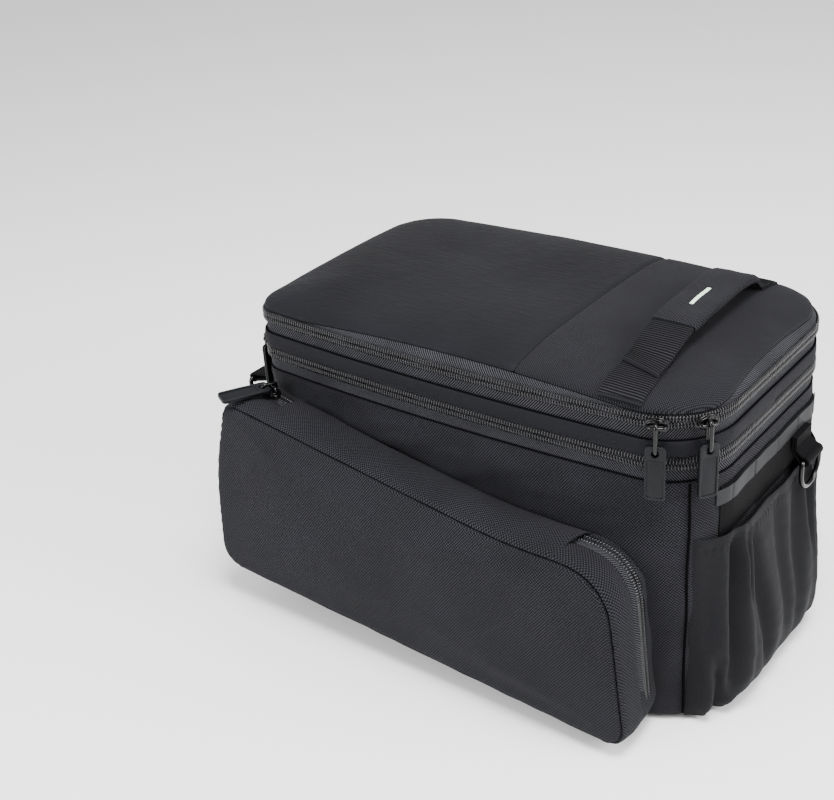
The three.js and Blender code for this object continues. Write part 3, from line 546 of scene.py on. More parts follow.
def ribbed(name, dark, light, pitch):
    """Webbing whose ribs run across it; the ribs' shape is in the mesh, and threads run along them"""
    look = Look(name, dark, 0.74, Sheen_Weight=0.005, Specular_IOR_Level=0.05)
    u, v = look.uv()
    rib = look.range(look.wave(u, v, 0.0, 1.0, pitch), -1.0, 1.0)
    thread = look.range(look.wave(u, v, 1.0, 0.0, THREAD_PITCH), -1.0, 1.0)
    tone = look.math("MULTIPLY", rib, look.range(thread, 0.0, 1.0, 0.55, 1.0))
    crumples = look.bump(look.noise(scale=200.0), distance=0.3 * MM, strength=0.4)
    normal = look.bump(thread, distance=0.12 * MM, strength=0.8, below=crumples)
    return look.finish(look.mix(tone, dark, light), normal=normal)


def plain(name, color, roughness, grain=600.0, depth=0.05 * MM, strength=0.5, **settings):
    """Moulded or enamelled surface with a fine grain and a slow change of gloss"""
    look = Look(name, color, roughness, **settings)
    patch = look.noise(scale=60.0, detail=3.0)
    lighter = tuple(1.5 * c for c in color)
    return look.finish(
        color=look.mix(look.range(patch, 0.35, 0.7), color, lighter),
        roughness=look.patches(patch, roughness * 0.85, roughness * 1.15),
        normal=look.bump(look.noise(scale=grain), distance=depth, strength=strength),
    )


def reflective():
    """Grey reflective strip with a fine lattice"""
    look = Look("reflective_strip_face", (0.013, 0.014, 0.016), 0.55, Specular_IOR_Level=0.12)
    u, v = look.uv()
    rising, falling = (look.wave(u, v, 1.0, lean, LATTICE_PITCH) for lean in (1.0, -1.0))
    tone = look.range(look.math("MULTIPLY", rising, falling), -1.0, 1.0)
    patch = look.noise(scale=45.0, detail=3.0)
    shade = look.math("MULTIPLY", tone, look.patches(patch, 0.5, 1.0))
    color = look.mix(shade, (0.0095, 0.0098, 0.0112), (0.0175, 0.018, 0.0205))
    return look.finish(color, normal=look.bump(tone, distance=0.05 * MM, strength=0.5))


body_look = woven(
    "woven_polyester", grey(0.0006, 0.0009), grey(0.0235, 0.029),
    pitch=1.1 * MM, depth=0.5 * MM, turn=0.12, crumple=0.25,
)
lid_look = woven(
    "woven_lid", grey(0.0012, 0.0016), grey(0.0195, 0.024),
    pitch=0.85 * MM, depth=0.35 * MM, turn=0.1, crumple=0.2,
)
band_look = woven(
    "plain_band", grey(0.004, 0.0055), grey(0.012, 0.015),
    pitch=0.6 * MM, depth=0.15 * MM, crumple=0.55,
)
thin_look = woven(
    "gathered_cloth", grey(0.0025, 0.0032), grey(0.0125, 0.015),
    pitch=0.85 * MM, depth=0.26 * MM, roughness=0.7, crumple=0.7,
)
stripe_look = woven(
    "pale_stripe", (0.52, 0.66, 0.50), (0.72, 0.86, 0.70),
    pitch=0.5 * MM, depth=0.08 * MM, crumple=0.2,
)
lower_twill = twill("lower_twill", grey(0.0008, 0.001), grey(0.052, 0.061), TWILL_PITCH)
upper_twill = twill(
    "upper_twill", grey(0.0008, 0.001), grey(0.052, 0.061), TWILL_PITCH, mirror=UPPER_CHAIN_Z,
)
shell_look = soft_shell()
webbing_look = ribbed("ribbed_webbing", grey(0.0008, 0.001), grey(0.024, 0.028), RIB_PITCH)
flat_webbing_look = ribbed("flat_webbing", grey(0.0004, 0.0005), grey(0.0045, 0.0055), FLAT_RIB_PITCH)
# Near-black cloth of the pipings, welts and corner seams; in the body and band seam cords the same dark
# colour is painted shade
cord_look = plain(
    "seam_cord", grey(0.0008, 0.001), 0.85, grain=900.0, depth=0.1 * MM, Specular_IOR_Level=0.03,
)
thread_look = plain("thread", grey(0.014, 0.017), 0.6, grain=900.0, Specular_IOR_Level=0.2)
coil_look = plain(
    "coil_nylon", grey(0.005, 0.006), 0.3,
    grain=500.0, depth=0.02 * MM, strength=0.3, Specular_IOR_Level=0.5,
)
rubber_look = plain(
    "soft_rubber", (0.0036, 0.004, 0.005), 0.42,
    grain=700.0, depth=0.06 * MM, strength=0.6, Specular_IOR_Level=0.14,
)
metal_look = plain(
    "black_metal", grey(0.001, 0.0013), 0.15,
    grain=300.0, depth=0.02 * MM, strength=0.3, Specular_IOR_Level=0.26,
)
plastic_look = plain("stiff_plastic", grey(0.006, 0.007), 0.5, grain=250.0, depth=0.2 * MM, strength=0.6)
strip_look = reflective()


# Padded body
def scaled_loop(s, share, inset, z):
    """Loop of the plan drawn in towards the middle"""
    ring = wall(s, -inset, z)
    ring[:, :2] *= share
    return ring


def build_body():
    columns = 350
    s = np.linspace(0, PERIMETER, columns, endpoint=False)
    soft, fine = Ripple(70 * MM, 3), Ripple(22 * MM, 4)
    under, inside = 0.6 * MM, 5 * MM
    calm, calm_run = 0.35, 25 * MM
    from_rear = np.minimum(s, PERIMETER - s)
    loose = calm + (1 - calm) * smooth_step((from_rear - POCKET_HALF_SPAN) / calm_run)
    rows, heights = [], []

    def add(row, v):
        rows.append(row)
        heights.append(v)

    for share in (0.03, 0.4, 0.7, 0.9):
        add(scaled_loop(s, share, BASE_RADIUS, under), -(1 - share) * WIDTH / 2)
    for turn in np.radians(np.linspace(0, 75, 6)):
        z = under + BASE_RADIUS * (1 - math.cos(turn))
        add(wall(s, -BASE_RADIUS * (1 - math.sin(turn)), z), BASE_RADIUS * turn - BASE_RADIUS)
    top = HEIGHT - HEM_RADIUS
    for z in np.linspace(BASE_RADIUS, top, 72):
        rise = (z - BASE_RADIUS) / (top - BASE_RADIUS)
        belly = BODY_BULGE * math.sin(math.pi * rise) ** 0.7
        edge = smooth_step((HEIGHT - z) / (14 * MM)) * smooth_step(z / (20 * MM))
        waves = edge * loose * (1.05 * MM * soft(s, z * 1.3) + 0.34 * MM * fine(s * 0.8, z * 1.5))
        stitched = np.sin(2 * math.pi * s / PUCKER_PITCH + 2 * soft(s, 0))
        pucker = 0.16 * MM * stitched * bump(z, HEIGHT - 5 * MM, 3 * MM)
        add(wall(s, belly + waves + pucker, z), z)
    for turn in np.radians((30, 60, 90, 120, 150)):
        out = -HEM_RADIUS * (1 - math.cos(turn))
        add(wall(s, out, top + HEM_RADIUS * math.sin(turn)), top + HEM_RADIUS * turn)
    for z in np.linspace(HEIGHT - 3 * MM, inside + 1 * MM, 8):
        add(wall(s, -BODY_WALL, z), 2 * HEIGHT - z)
    for share in (0.85, 0.4, 0.03):
        add(scaled_loop(s, share, BODY_WALL, inside), 2 * HEIGHT)

    points = np.stack(rows)
    uv = ring_uv(PERIMETER, heights, columns)
    vertices, faces = swept(points)
    a, b = grid_cells(len(rows), columns, True)
    cell_uv = np.stack([uv[a, b], uv[a, b + 1], uv[a + 1, b + 1], uv[a + 1, b]], 1).reshape(-1, 2)
    cap_uv = np.concatenate([points[0, ::-1, :2], points[-1, :, :2]])
    body = make_object("body_cloth", vertices, faces, np.concatenate([cell_uv, cap_uv]))
    piece(body, body_look, "woven_cloth", "body_shell")
    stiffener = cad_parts["rack_plate"]
    stiffener.data.materials.clear()
    stiffener.data.materials.append(plastic_look)


# Zip bands
def rim_at(s):
    """Inset and height of the lid's rim, which dips at three of the corners"""
    place = plan_xy(s)
    xy = np.abs(place)
    along, across = xy[..., 0] / (LENGTH / 2), xy[..., 1] / (WIDTH / 2)
    side = smooth_step((across - along) * 6 + 0.5)
    middle = RIM_END_RISE * (1 - side) + RIM_SIDE_RISE * side
    corner = np.minimum(1, along * across / CORNER_REACH) ** 2
    far = smooth_step(place[..., 0] / (LENGTH / 2)) * smooth_step(place[..., 1] / (WIDTH / 2))
    corner = corner * (1 - FAR_CORNER_EASE * far)
    inset = LID_INSET + (LID_CORNER_INSET - LID_INSET) * corner
    return inset, UPPER_CHAIN_Z + middle + (RIM_CORNER_RISE - middle) * corner


def ring_strip(name, profile, thickness):
    """Ring of cloth right round the bag; each profile row gives out and z, which may depend on the place"""
    columns = 420
    s = np.linspace(0, PERIMETER, columns, endpoint=False)
    rows = [wall(s, out(s) if callable(out) else out, z(s) if callable(z) else z) for out, z in profile]
    points = np.stack(rows)
    return cloth(name, points, ring_uv(PERIMETER, points[:, 0, 2], columns), thickness, ring=True)


def build_bands():
    sway = Ripple(60 * MM, 11)
    heights = np.linspace(HEIGHT + 0.3 * MM, LOWER_CHAIN_Z + CHAIN_HALF + 3 * MM, 8)
    lower = ring_strip("lower_zip_tape_cloth", [(-TAPE_INSET, z) for z in heights], TAPE_THICKNESS)
    piece(lower, lower_twill, "tape_cloth", "lower_zip_tape")

    fold_z = LOWER_CHAIN_Z + CHAIN_HALF + 0.6 * MM
    seam = BAND_SEAM_Z
    band = [(-0.6 * MM, fold_z + 0.5 * MM), (0.1 * MM, fold_z), (0.7 * MM, fold_z + 0.5 * MM)]
    for share in np.linspace(0.08, 0.92, 9):
        z = fold_z + (seam - fold_z) * share
        swell = 0.75 * MM + 0.5 * MM * math.sin(math.pi * share)
        band.append((lambda s, a=swell, b=z: a + 0.5 * MM * sway(s, b * 2), z))
    band += [(0.5 * MM, seam - 0.3 * MM), (-0.2 * MM, seam), (-0.8 * MM, seam - 0.4 * MM)]
    piece(ring_strip("expansion_band", band, 0.5 * MM), band_look, "woven_cloth")

    lean_z = UPPER_CHAIN_Z + CHAIN_HALF
    lean_bulge = 0.35 * MM
    upper = [(-TAPE_INSET, z) for z in np.linspace(seam + 0.2 * MM, lean_z, 12)]
    for share in np.linspace(0.15, 1.0, 6):
        bulge = lean_bulge * math.sin(math.pi * share)
        upper.append((
            lambda s, k=share, more=bulge: -TAPE_INSET - (rim_at(s)[0] - TAPE_INSET) * k + more,
            lambda s, k=share: lean_z + (rim_at(s)[1] - lean_z) * k,
        ))
    upper = ring_strip("upper_zip_tape_cloth", upper, TAPE_THICKNESS)
    piece(upper, upper_twill, "tape_cloth", "upper_zip_tape")

    # Dark cords sunk in the gaps at the body seam and the band seam: they mark the seams, and their darkness
    # is painted shade for the shadow in these gaps
    around = np.linspace(0, PERIMETER, 500, endpoint=False)
    for name, out, z in (("body_seam_shade", -0.2 * MM, HEIGHT), ("band_seam_shade", 0.1 * MM, BAND_SEAM_Z)):
        path = wall(around, out, z + 0.1 * MM)
        piece(tube(f"{name}_cord", path, 0.55 * MM, 6, closed=True), cord_look, "tape_cloth")


def coil(name, middle, outward_way, across_way, width):
    """Two rows of arched teeth along a path; the three grids give its middle line and two directions"""
    way = way_along(middle)
    length = way[-1]
    count = int(length / TOOTH_PITCH)
    places = (np.arange(count) + 0.5) * length / count
    # Across from the middle, lift and lead of a tooth's line, in mm, and how far its sides lean
    arch = [(0.2, 0.55, 0.0, 1.0), (0.9, 1.2, 0.1, 1.0), (2.2, 1.35, 0.35, -0.2), (3.3, 1.05, 0.6, -1.0),
            (4.0, 0.3, 0.75, -1.0)]
    scale = width / 2 / arch[-1][0]
    thin_end = 0.8
    turn = np.linspace(0, 2 * math.pi, 6, endpoint=False)
    cos, sin = np.cos(turn)[None, :, None], np.sin(turn)[None, :, None]
    parts = []
    for side in (-1, 1):
        at = places + (0.5 * length / count if side > 0 else 0)
        at = np.minimum(at, length)
        out = unit(on_path(outward_way, way, at))
        over = unit(on_path(across_way, way, at))
        along = np.cross(over, out)
        loops = []
        for across, lift, ahead, lean in arch:
            base = on_path(middle, way, at + ahead * 0.55 * MM)
            centre = base + over * (side * across * scale) + out * lift * MM * 0.8
            ends = across in (arch[0][0], arch[-1][0])
            normal = unit(out - over * side * lean * 0.5)
            ring = along[:, None] * cos * 0.85 + normal[:, None] * sin
            loops.append(centre[:, None] + ring * (TOOTH_RADIUS * (thin_end if ends else 1.0)))
        parts += [swept(tooth) for tooth in np.stack(loops, 1)]
    return gather(name, parts, crease=70)


def build_chains():
    hinge_half, gap = 55 * MM, 1 * MM
    hinge_start, hinge_end = front_distance(hinge_half), front_distance(-hinge_half)
    for name, z, start, end in (
        ("lower_zip_chain", LOWER_CHAIN_Z, 0.0, PERIMETER),
        ("upper_zip_chain", UPPER_CHAIN_Z, hinge_end - PERIMETER, hinge_start),
    ):
        s = np.linspace(start, end, 900)
        out = np.zeros((len(s), 3))
        out[:, :2] = plan_normal(s)
        across = np.tile((0.0, 0.0, 1.0), (len(s), 1))
        teeth = coil(f"{name}_coils", wall(s, -0.2 * MM, z), out, across, CHAIN_WIDTH)
        piece(teeth, coil_look, "coil", name)
    s = np.linspace(hinge_start + gap, hinge_end - gap, 60)
    share = np.linspace(0, 1, 14)
    z = np.linspace(BAND_SEAM_Z, UPPER_CHAIN_Z + CHAIN_HALF, 14)
    swell = 1.4 * MM * np.sin(math.pi * share) ** 0.6
    points = wall(s[None], 0.4 * MM + swell[:, None], z[:, None])
    piece(cloth("lid_hinge_cloth", points, uv_grid(s, z), 0.9 * MM), body_look, "woven_cloth", "lid_hinge")


# Lid
def lid_rise(reach):
    """Share of the lid's rise by the share of the way in from its rim"""
    return 1 - (1 - reach ** 0.62) ** 2.96


def dome_loop(s, reach, depth):
    """Loop of the lid, a share of the way from its rim to its spine and a depth below its face"""
    inset, rim = rim_at(s)
    low = rim + 0.3 * MM
    rise = lid_rise(reach)
    puff = 1.3 * MM * math.exp(-(((rise - 0.3) / 0.25) ** 2)) if depth == 0 else 0
    points = wall(s, -inset - depth + puff, rim)
    spine = points.copy()
    half = (LENGTH - WIDTH) / 2
    spine[:, 0] = np.clip(points[:, 0], -half, half)
    spine[:, 1] = 0
    points += (spine - points) * reach
    points[:, 2] = low + (CROWN_Z - depth - low) * rise
    return points


def lid_surface(s, depth, first, flipped):
    """Rings of the lid from the rim inward and a strip of quads that fills the last one"""
    columns = len(s)
    shares = [0, 0.004, 0.012, 0.025, 0.05, 0.09, 0.15, 0.23, 0.32, 0.42, 0.53, 0.65, 0.77, 0.88]
    loops = np.stack([dome_loop(s, share, depth) for share in shares])
    vertices, faces = swept(loops)
    faces = faces[:-2]
    last = (len(shares) - 1) * columns
    half, cross = columns // 2, 6
    rows = [[last]]
    extra = []
    for k in range(1, half):
        left, right = last + k, last + columns - k
        row = [left]
        for share in np.arange(1, cross) / cross:
            row.append(len(vertices) + len(extra))
            extra.append(vertices[left] * (1 - share) + vertices[right] * share)
        rows.append(row + [right])
    rows.append([last + half])
    vertices = np.concatenate([vertices, np.array(extra)])
    for a, b in zip(rows, rows[1:]):
        for step in range(cross):
            cell = [a[min(step, len(a) - 1)], b[min(step, len(b) - 1)]]
            cell += [b[min(step + 1, len(b) - 1)], a[min(step + 1, len(a) - 1)]]
            cell = list(dict.fromkeys(cell))
            if len(cell) > 2:
                faces.append(cell)
    return vertices, [[k + first for k in (cell[::-1] if flipped else cell)] for cell in faces]


def lid_half(name, side, look, slot, node):
    """Front or rear part of the lid, cut at the seam"""
    columns = 360
    s = np.linspace(0, PERIMETER, columns, endpoint=False)
    top, top_faces = lid_surface(s, 0, 0, False)
    under, under_faces = lid_surface(s, LID_THICKNESS, len(top), True)
    band = []
    for k in range(columns):
        j = (k + 1) % columns
        band.append([k, k + len(top), j + len(top), j])
    work = bmesh.new()
    made = [work.verts.new(p) for p in np.concatenate([top, under])]
    for cell in top_faces + under_faces + band:
        work.faces.new([made[k] for k in cell])

    def cut(x, **options):
        everything = work.verts[:] + work.edges[:] + work.faces[:]
        return bmesh.ops.bisect_plane(work, geom=everything, plane_co=(x, 0, 0), **options)["geom_cut"]

    seam = LID_SEAM_X + side * 0.2 * MM
    for step in (0.8, 1.6, 3.0, 5.0, 8.0):
        cut(seam + side * step * MM, plane_no=(1, 0, 0))
    edge = cut(seam, plane_no=(-side, 0, 0), clear_outer=True)
    bmesh.ops.holes_fill(work, edges=[e for e in edge if isinstance(e, bmesh.types.BMEdge)])
    slow, fine = Ripple(90 * MM, 21), Ripple(26 * MM, 22)
    for vert in work.verts:
        x, y, z = vert.co
        height = (z - UPPER_CHAIN_Z) / (CROWN_Z - UPPER_CHAIN_Z)
        lift = 0.5 * MM * slow(x, y) + 0.16 * MM * fine(x, y)
        groove = 1.1 * MM * bump(x, LID_SEAM_X, 2.2 * MM)
        vert.co.z += lift * smooth_step(height * 1.6 - 0.6) - groove
    bmesh.ops.recalc_face_normals(work, faces=work.faces)
    layer = work.loops.layers.uv.new("UVMap")
    for face in work.faces:
        for loop in face.loops:
            loop[layer].uv = (loop.vert.co.x, loop.vert.co.y)
    mesh = bpy.data.meshes.new(name)
    work.to_mesh(mesh)
    work.free()
    mesh.shade_smooth()
    mesh.set_sharp_from_angle(angle=math.radians(CREASE))
    half = piece(add_object(name, mesh), look, slot, node)
    return half


def build_lid():
    lid_half("lid_front_cloth", -1, shell_look, "soft_cloth", "lid_front_panel")
    rear = lid_half("lid_rear_cloth", 1, lid_look, "woven_cloth", "lid_rear_panel")
    s = np.linspace(0, PERIMETER, 500, endpoint=False)
    inset, rim = rim_at(s)
    cord = tube("lid_welt_cord", wall(s, -inset - 0.5 * MM, rim + 0.1 * MM), 0.9 * MM, 8, closed=True)
    piece(cord, cord_look, "webbing", "lid_welt")
    return rear


# Handle
def height_under(tree, x, y):
    """Height of the first surface met from above, or None"""
    hit = tree.ray_cast(Vector((x, y, 1)), Vector((0, 0, -1)))[0]
    return hit.z if hit else None


def lid_height(lid):
    """Lookups of the lid's height across the handle's width and at a single place"""
    tree = BVHTree.FromObject(lid, bpy.context.evaluated_depsgraph_get())
    lowest = UPPER_CHAIN_Z + RIM_SIDE_RISE
    ys = np.linspace(-WIDTH / 2 + 1 * MM, WIDTH / 2 - 1 * MM, 160)
    heights = []
    for y in ys:
        found = [height_under(tree, HANDLE_X + dx * MM, y) for dx in (-14, 0, 14)]
        heights.append(max([z for z in found if z is not None] or [lowest]))

    def seat(x, y):
        return max(height_under(tree, x, y) or lowest, lowest) + HANDLE_GAP

    return lambda y: np.interp(y, ys, heights), seat


def line_normal(y, z):
    """Upward normals of a line across the bag, its tangents and the tangents' sizes"""
    ty, tz = np.gradient(y), np.gradient(z)
    size = np.hypot(ty, tz)
    return -tz / size, ty / size, ty, tz, size


def ribbed_strap(name, y, z, width, thickness, slant=None, seat=None, hold=None):
    """Webbing across the bag along a line of y and z, with ribs as real shapes"""
    steps = np.hypot(np.diff(y), np.diff(z))
    length = np.concatenate([[0], np.cumsum(steps)])
    count = int(length[-1] / (RIB_PITCH / 4)) + 1
    at = np.linspace(0, length[-1], count)
    y, z = np.interp(at, length, y), np.interp(at, length, z)
    ny, nz, ty, tz, size = line_normal(y, z)
    rib = 0.22 * MM * np.cos(2 * math.pi * at / RIB_PITCH)
    across = np.linspace(-1, 1, 15)
    edge = 0.5 * MM * np.abs(across) ** 6
    raised = ANCHOR_THICKNESS + 0.4 * MM if hold else 0
    rows = []
    for k in range(count):
        lift = thickness + rib[k] - edge
        shear = slant(at[k], length[-1]) * across if slant else 0 * across
        row_y = y[k] + ny[k] * lift + ty[k] / size[k] * shear
        row_z = z[k] + nz[k] * lift + tz[k] / size[k] * shear
        row = np.stack([HANDLE_X + across * width / 2, row_y, row_z], 1)
        if seat:
            seated = [seat(px, py) + up for px, py, up in zip(row[:, 0], row[:, 1], lift)]
            grip = hold(at[k], length[-1]) if hold else 1.0
            row[:, 2] += grip * (np.array(seated) + raised - row[:, 2])
        rows.append(row)
    return cloth(name, np.stack(rows), uv_grid(across * width / 2, at), thickness)


# Rise of the handle by its place across the bag; the far side stands up fuller than the near one
STRAP_REACHES = [-0.93, -0.84, -0.72, -0.58, -0.42, -0.24, -0.08, 0.3, 0.47, 0.62, 0.73, 0.83, 0.93]
STRAP_RISES = [0, 0, 0.2, 0.52, 0.8, 0.95, 1, 1.05, 1.07, 1.0, 0.66, 0.14, 0]


def strap_line(height):
    share = np.linspace(STRAP_REACHES[0], STRAP_REACHES[-1], 181)
    rise = np.pad(np.interp(share, STRAP_REACHES, STRAP_RISES), 7, mode="edge")
    rise = np.convolve(rise, np.ones(15) / 15, "valid")
    y = share * STRAP_REACH
    low = height(y) + 0.5 * MM + ANCHOR_THICKNESS
    top = STRAP_TOP_Z - SLEEVE_THICKNESS - STRAP_THICKNESS - 1.2 * MM
    return y, low + (top - low) * rise


def sleeve_outline():
    """Section of the handle's sleeve, a rectangle with rounded corners"""
    half, top, low = STRAP_WIDTH / 2 + 0.3 * MM, STRAP_THICKNESS + 1.0 * MM, -2.2 * MM
    radius = 2.2 * MM
    outline = []
    for cx, cz, start in ((half, top, 0), (-half, top, 90), (-half, low, 180), (half, low, 270)):
        centre = (cx - math.copysign(radius, cx), cz - math.copysign(radius, cz))
        for turn in np.radians(start + np.linspace(0, 90, 6)):
            outline.append((centre[0] + radius * math.cos(turn), centre[1] + radius * math.sin(turn)))
        if start in (0, 180):
            sign = -1 if start == 0 else 1
            for share in np.linspace(0, 1, 12)[1:-1]:
                outline.append((sign * (2 * share - 1) * (half - radius), cz))
    return np.array(outline)


def build_handle(lid):
    height, seat = lid_height(lid)
    for name, side in (("left", -1), ("right", 1)):
        end = ANCHOR_END if side < 0 else ANCHOR_END - 11 * MM
        y = np.linspace(end, WIDTH / 2 - 34 * MM, 40)
        z = height(y) + HANDLE_GAP
        if side < 0:
            y, z = -y, z
        else:
            y, z = y[::-1], z[::-1]
        anchor = f"handle_anchor_webbing_{name}"
        anchor = ribbed_strap(anchor, y, z, STRAP_WIDTH, ANCHOR_THICKNESS, seat=seat)
        piece(anchor, webbing_look, "webbing", f"handle_anchor_{name}")

    def slant(at, length):
        near, far = smooth_step(1 - at / (25 * MM)), smooth_step(1 - (length - at) / (25 * MM))
        return STRAP_SLANT * (far - near)

    def hold(at, length):
        return smooth_step((20 * MM - min(at, length - at)) / (14 * MM))

    y, z = strap_line(height)
    strap = ribbed_strap("handle_webbing", y, z, STRAP_WIDTH - 1 * MM, STRAP_THICKNESS, slant, seat, hold)
    piece(strap, webbing_look, "webbing", "handle_strap")

    inside = (y >= SLEEVE_NEAR) & (y <= SLEEVE_FAR)
    y, z = y[inside], z[inside]
    ny, nz = line_normal(y, z)[:2]
    outline = sleeve_outline()
    soft = Ripple(30 * MM, 31)
    loops = []
    for k in range(len(y)):
        end = min(k, len(y) - 1 - k) / len(y)
        puff = 0.5 * MM * smooth_step(end * 12) + 0.25 * MM * soft(y[k], outline[:, 0] * 2)
        lift = outline[:, 1] + np.sign(outline[:, 1] - 1 * MM) * puff
        loops.append(np.stack([HANDLE_X + outline[:, 0], y[k] + ny[k] * lift, z[k] + nz[k] * lift], 1))
    sleeve = gather("handle_sleeve_cloth", [swept(loops)])
    flat_uv(sleeve)
    piece(sleeve, body_look, "woven_cloth", "handle_sleeve")

    columns = STRIPE_Y + np.linspace(-13, 13, 27) * MM
    rows = np.linspace(-1.3, 1.3, 5) * MM
    tree = BVHTree.FromObject(sleeve, bpy.context.evaluated_depsgraph_get())
    crest = np.array([[height_under(tree, HANDLE_X - row, column) for column in columns] for row in rows])
    grid = np.stack(np.broadcast_arrays(HANDLE_X - rows[:, None], columns[None], crest + 0.35 * MM), -1)
    stripe = cloth("handle_stripe_cloth", grid, uv_grid(columns, rows), 0.5 * MM)
    piece(outward(stripe), stripe_look, "pale_stripe", "handle_stripe")


def flat_uv(made):
    """UVs in metres, seen along the axis that each face looks along most"""
    mesh = made.data
    layer = mesh.uv_layers.new(name="UVMap")
    for polygon in mesh.polygons:
        n = [abs(c) for c in polygon.normal]
        drop = n.index(max(n))
        axes = [k for k in range(3) if k != drop]
        for k in polygon.loop_indices:
            co = mesh.vertices[mesh.loops[k].vertex_index].co
            layer.data[k].uv = (co[axes[0]], co[axes[1]])


# Side pockets
PANEL_OUTLINE = [
    (0.94, 1, 0.035), (0.255, 0.779, 0.09), (0.04, 0.783, 0.105),
    (0, 0, 0.05), (1.012, 0.128, 0.055), (0.996, 0.62, 0.09),
]
WALL_OUTLINE = [
    (0.909, 0.985, 0.03), (0.29, 0.779, 0.12), (0.031, 0.773, 0.095),
    (0.006, 0.012, 0.04), (0.945, 0.085, 0.05), (0.938, 0.6, 0.09),
]
CORNER_STEPS = 12
EDGE_STEPS = 26
CORNER_STRIDE = CORNER_STEPS + EDGE_STEPS
PANEL_Y = WIDTH / 2 + POCKET_DEPTH


def rounded_outline(corners):
    """Closed outline of x and z with outward normals, clockwise as seen from outside the left pocket"""
    corners = np.array(corners)
    places = np.stack([POCKET_REAR_X - corners[:, 0] * POCKET_LENGTH,
                       POCKET_FLOOR_Z + corners[:, 1] * POCKET_HEIGHT], 1)
    radii = corners[:, 2] * POCKET_LENGTH
    points = []
    for k, place in enumerate(places):
        j = (k + 1) % len(places)
        start = place + unit(places[k - 1] - place) * radii[k]
        end = place + unit(places[j] - place) * radii[k]
        t = np.linspace(0, 1, CORNER_STEPS + 1)[:, None]
        points.append((1 - t) ** 2 * start + 2 * t * (1 - t) * place + t * t * end)
        following = places[j] + unit(place - places[j]) * radii[j]
        share = np.linspace(0, 1, EDGE_STEPS + 1)[1:-1, None]
        points.append(end * (1 - share) + following * share)
    line = np.concatenate(points)
    tangent = unit(np.roll(line, -1, 0) - np.roll(line, 1, 0))
    normal = np.stack([-tangent[:, 1], tangent[:, 0]], 1)
    if ((line - line.mean(0)) * normal).sum() < 0:
        normal = -normal
    return line, normal


class Gusset:
    """Surface between a pocket's outline on the wall and its outline at the panel"""

    def __init__(self, side):
        self.side = side
        self.panel, self.panel_normal = rounded_outline(PANEL_OUTLINE)
        self.wall, self.wall_normal = rounded_outline(WALL_OUTLINE)
        self.count = len(self.panel)
        self.s = way_along(np.append(self.panel, self.panel[:1], axis=0))

    def at(self, i, share, lift):
        """Points at steps of the outline, a share of the way from the wall to the panel"""
        i = np.asarray(i) % self.count
        share, lift = np.broadcast_arrays(share, lift)
        share, lift = share[..., None], lift[..., None]
        flat = self.wall[i] * (1 - share) + self.panel[i] * share
        normal = self.wall_normal[i] * (1 - share) + self.panel_normal[i] * share
        flat = flat + normal * lift
        start = half_width(self.wall[i][..., 0], self.side)[..., None]
        end = PANEL_Y - PANEL_SEAM
        y = self.side * (start * (1 - share) + end * share)
        return np.concatenate([flat[..., :1], y, flat[..., 1:]], -1)


def pocket_grid(gusset, i, shares, lifts):
    """Grid over part of the gusset; rows run from the wall to the panel"""
    return np.stack([gusset.at(i, share, lift) for share, lift in zip(shares, lifts)])


def pocket_cloth(name, gusset, i, shares, lifts, thickness, ring=False):
    points = pocket_grid(gusset, i, shares, lifts)
    s = gusset.s[np.asarray(i) % gusset.count]
    if ring:
        s = np.append(s, gusset.s[-1])
    uv = uv_grid(s, np.asarray(shares) * POCKET_DEPTH)
    return outward(cloth(name, points, uv, thickness, ring))


def build_gusset(name, gusset, puffs):
    everywhere = np.arange(gusset.count)
    on_zip = smooth_step((everywhere - CORNER_STEPS * 0.5) / 8)
    on_zip = on_zip * smooth_step((3 * CORNER_STRIDE + 4 - everywhere) / 8)
    s = gusset.s[:-1]
    pucker = np.sin(2 * math.pi * s / (8.5 * MM) + 1.5 * puffs(s, 0))
    shares = np.concatenate([np.linspace(0, 0.5, 14), np.linspace(0.54, 1, 20)])
    lifts = []
    for share in shares:
        whole = 2.4 * MM * math.sin(math.pi * min(1, share)) ** 0.6
        outer = max(0.0, (share - ZIP_END) / (1 - ZIP_END))
        padding = 3.0 * MM * math.sin(math.pi * outer) ** 0.55 if outer > 0 else -0.9 * MM
        lift = whole * (1 - on_zip) + padding * on_zip
        strength = math.sin(math.pi * outer) if outer > 0 else 0.0
        lift = lift + strength * 0.7 * MM * puffs(s, share * POCKET_DEPTH * 1.4)
        seams = bump(share, 0.97, 0.06) + bump(share, ZIP_END + 0.04, 0.04) * on_zip
        lifts.append(lift + 0.35 * MM * pucker * seams)
    made = pocket_cloth(f"{name}_gusset_cloth", gusset, everywhere, shares, lifts, 2.2 * MM, ring=True)
    piece(made, body_look, "woven_cloth", f"{name}_pocket_gusset")


def build_pocket_zip(name, gusset):
    """Tape and chain from the front top corner round to the bottom rear one"""
    run = np.arange(CORNER_STEPS, 3 * CORNER_STRIDE + 1)
    shares = np.linspace(ZIP_START - 0.03, ZIP_END + 0.01, 10)
    lifts = [0.35 * MM + 0.3 * MM * math.sin(math.pi * k / 9) + 0 * run for k in range(10)]
    tape = pocket_cloth(f"{name}_zip_tape_cloth", gusset, run, shares, lifts, TAPE_THICKNESS)
    piece(tape, lower_twill, "tape_cloth", f"{name}_pocket_zip_tape")
    middle = gusset.at(run, COIL_SHARE, 1.1 * MM)
    above = gusset.at(run, COIL_SHARE, 2.1 * MM)
    beside = gusset.at(run, COIL_SHARE + 0.05, 1.1 * MM)
    teeth = coil(f"{name}_zip_coils", middle, above - middle, beside - middle, CHAIN_WIDTH)
    piece(teeth, coil_look, "coil", f"{name}_pocket_zip_chain")


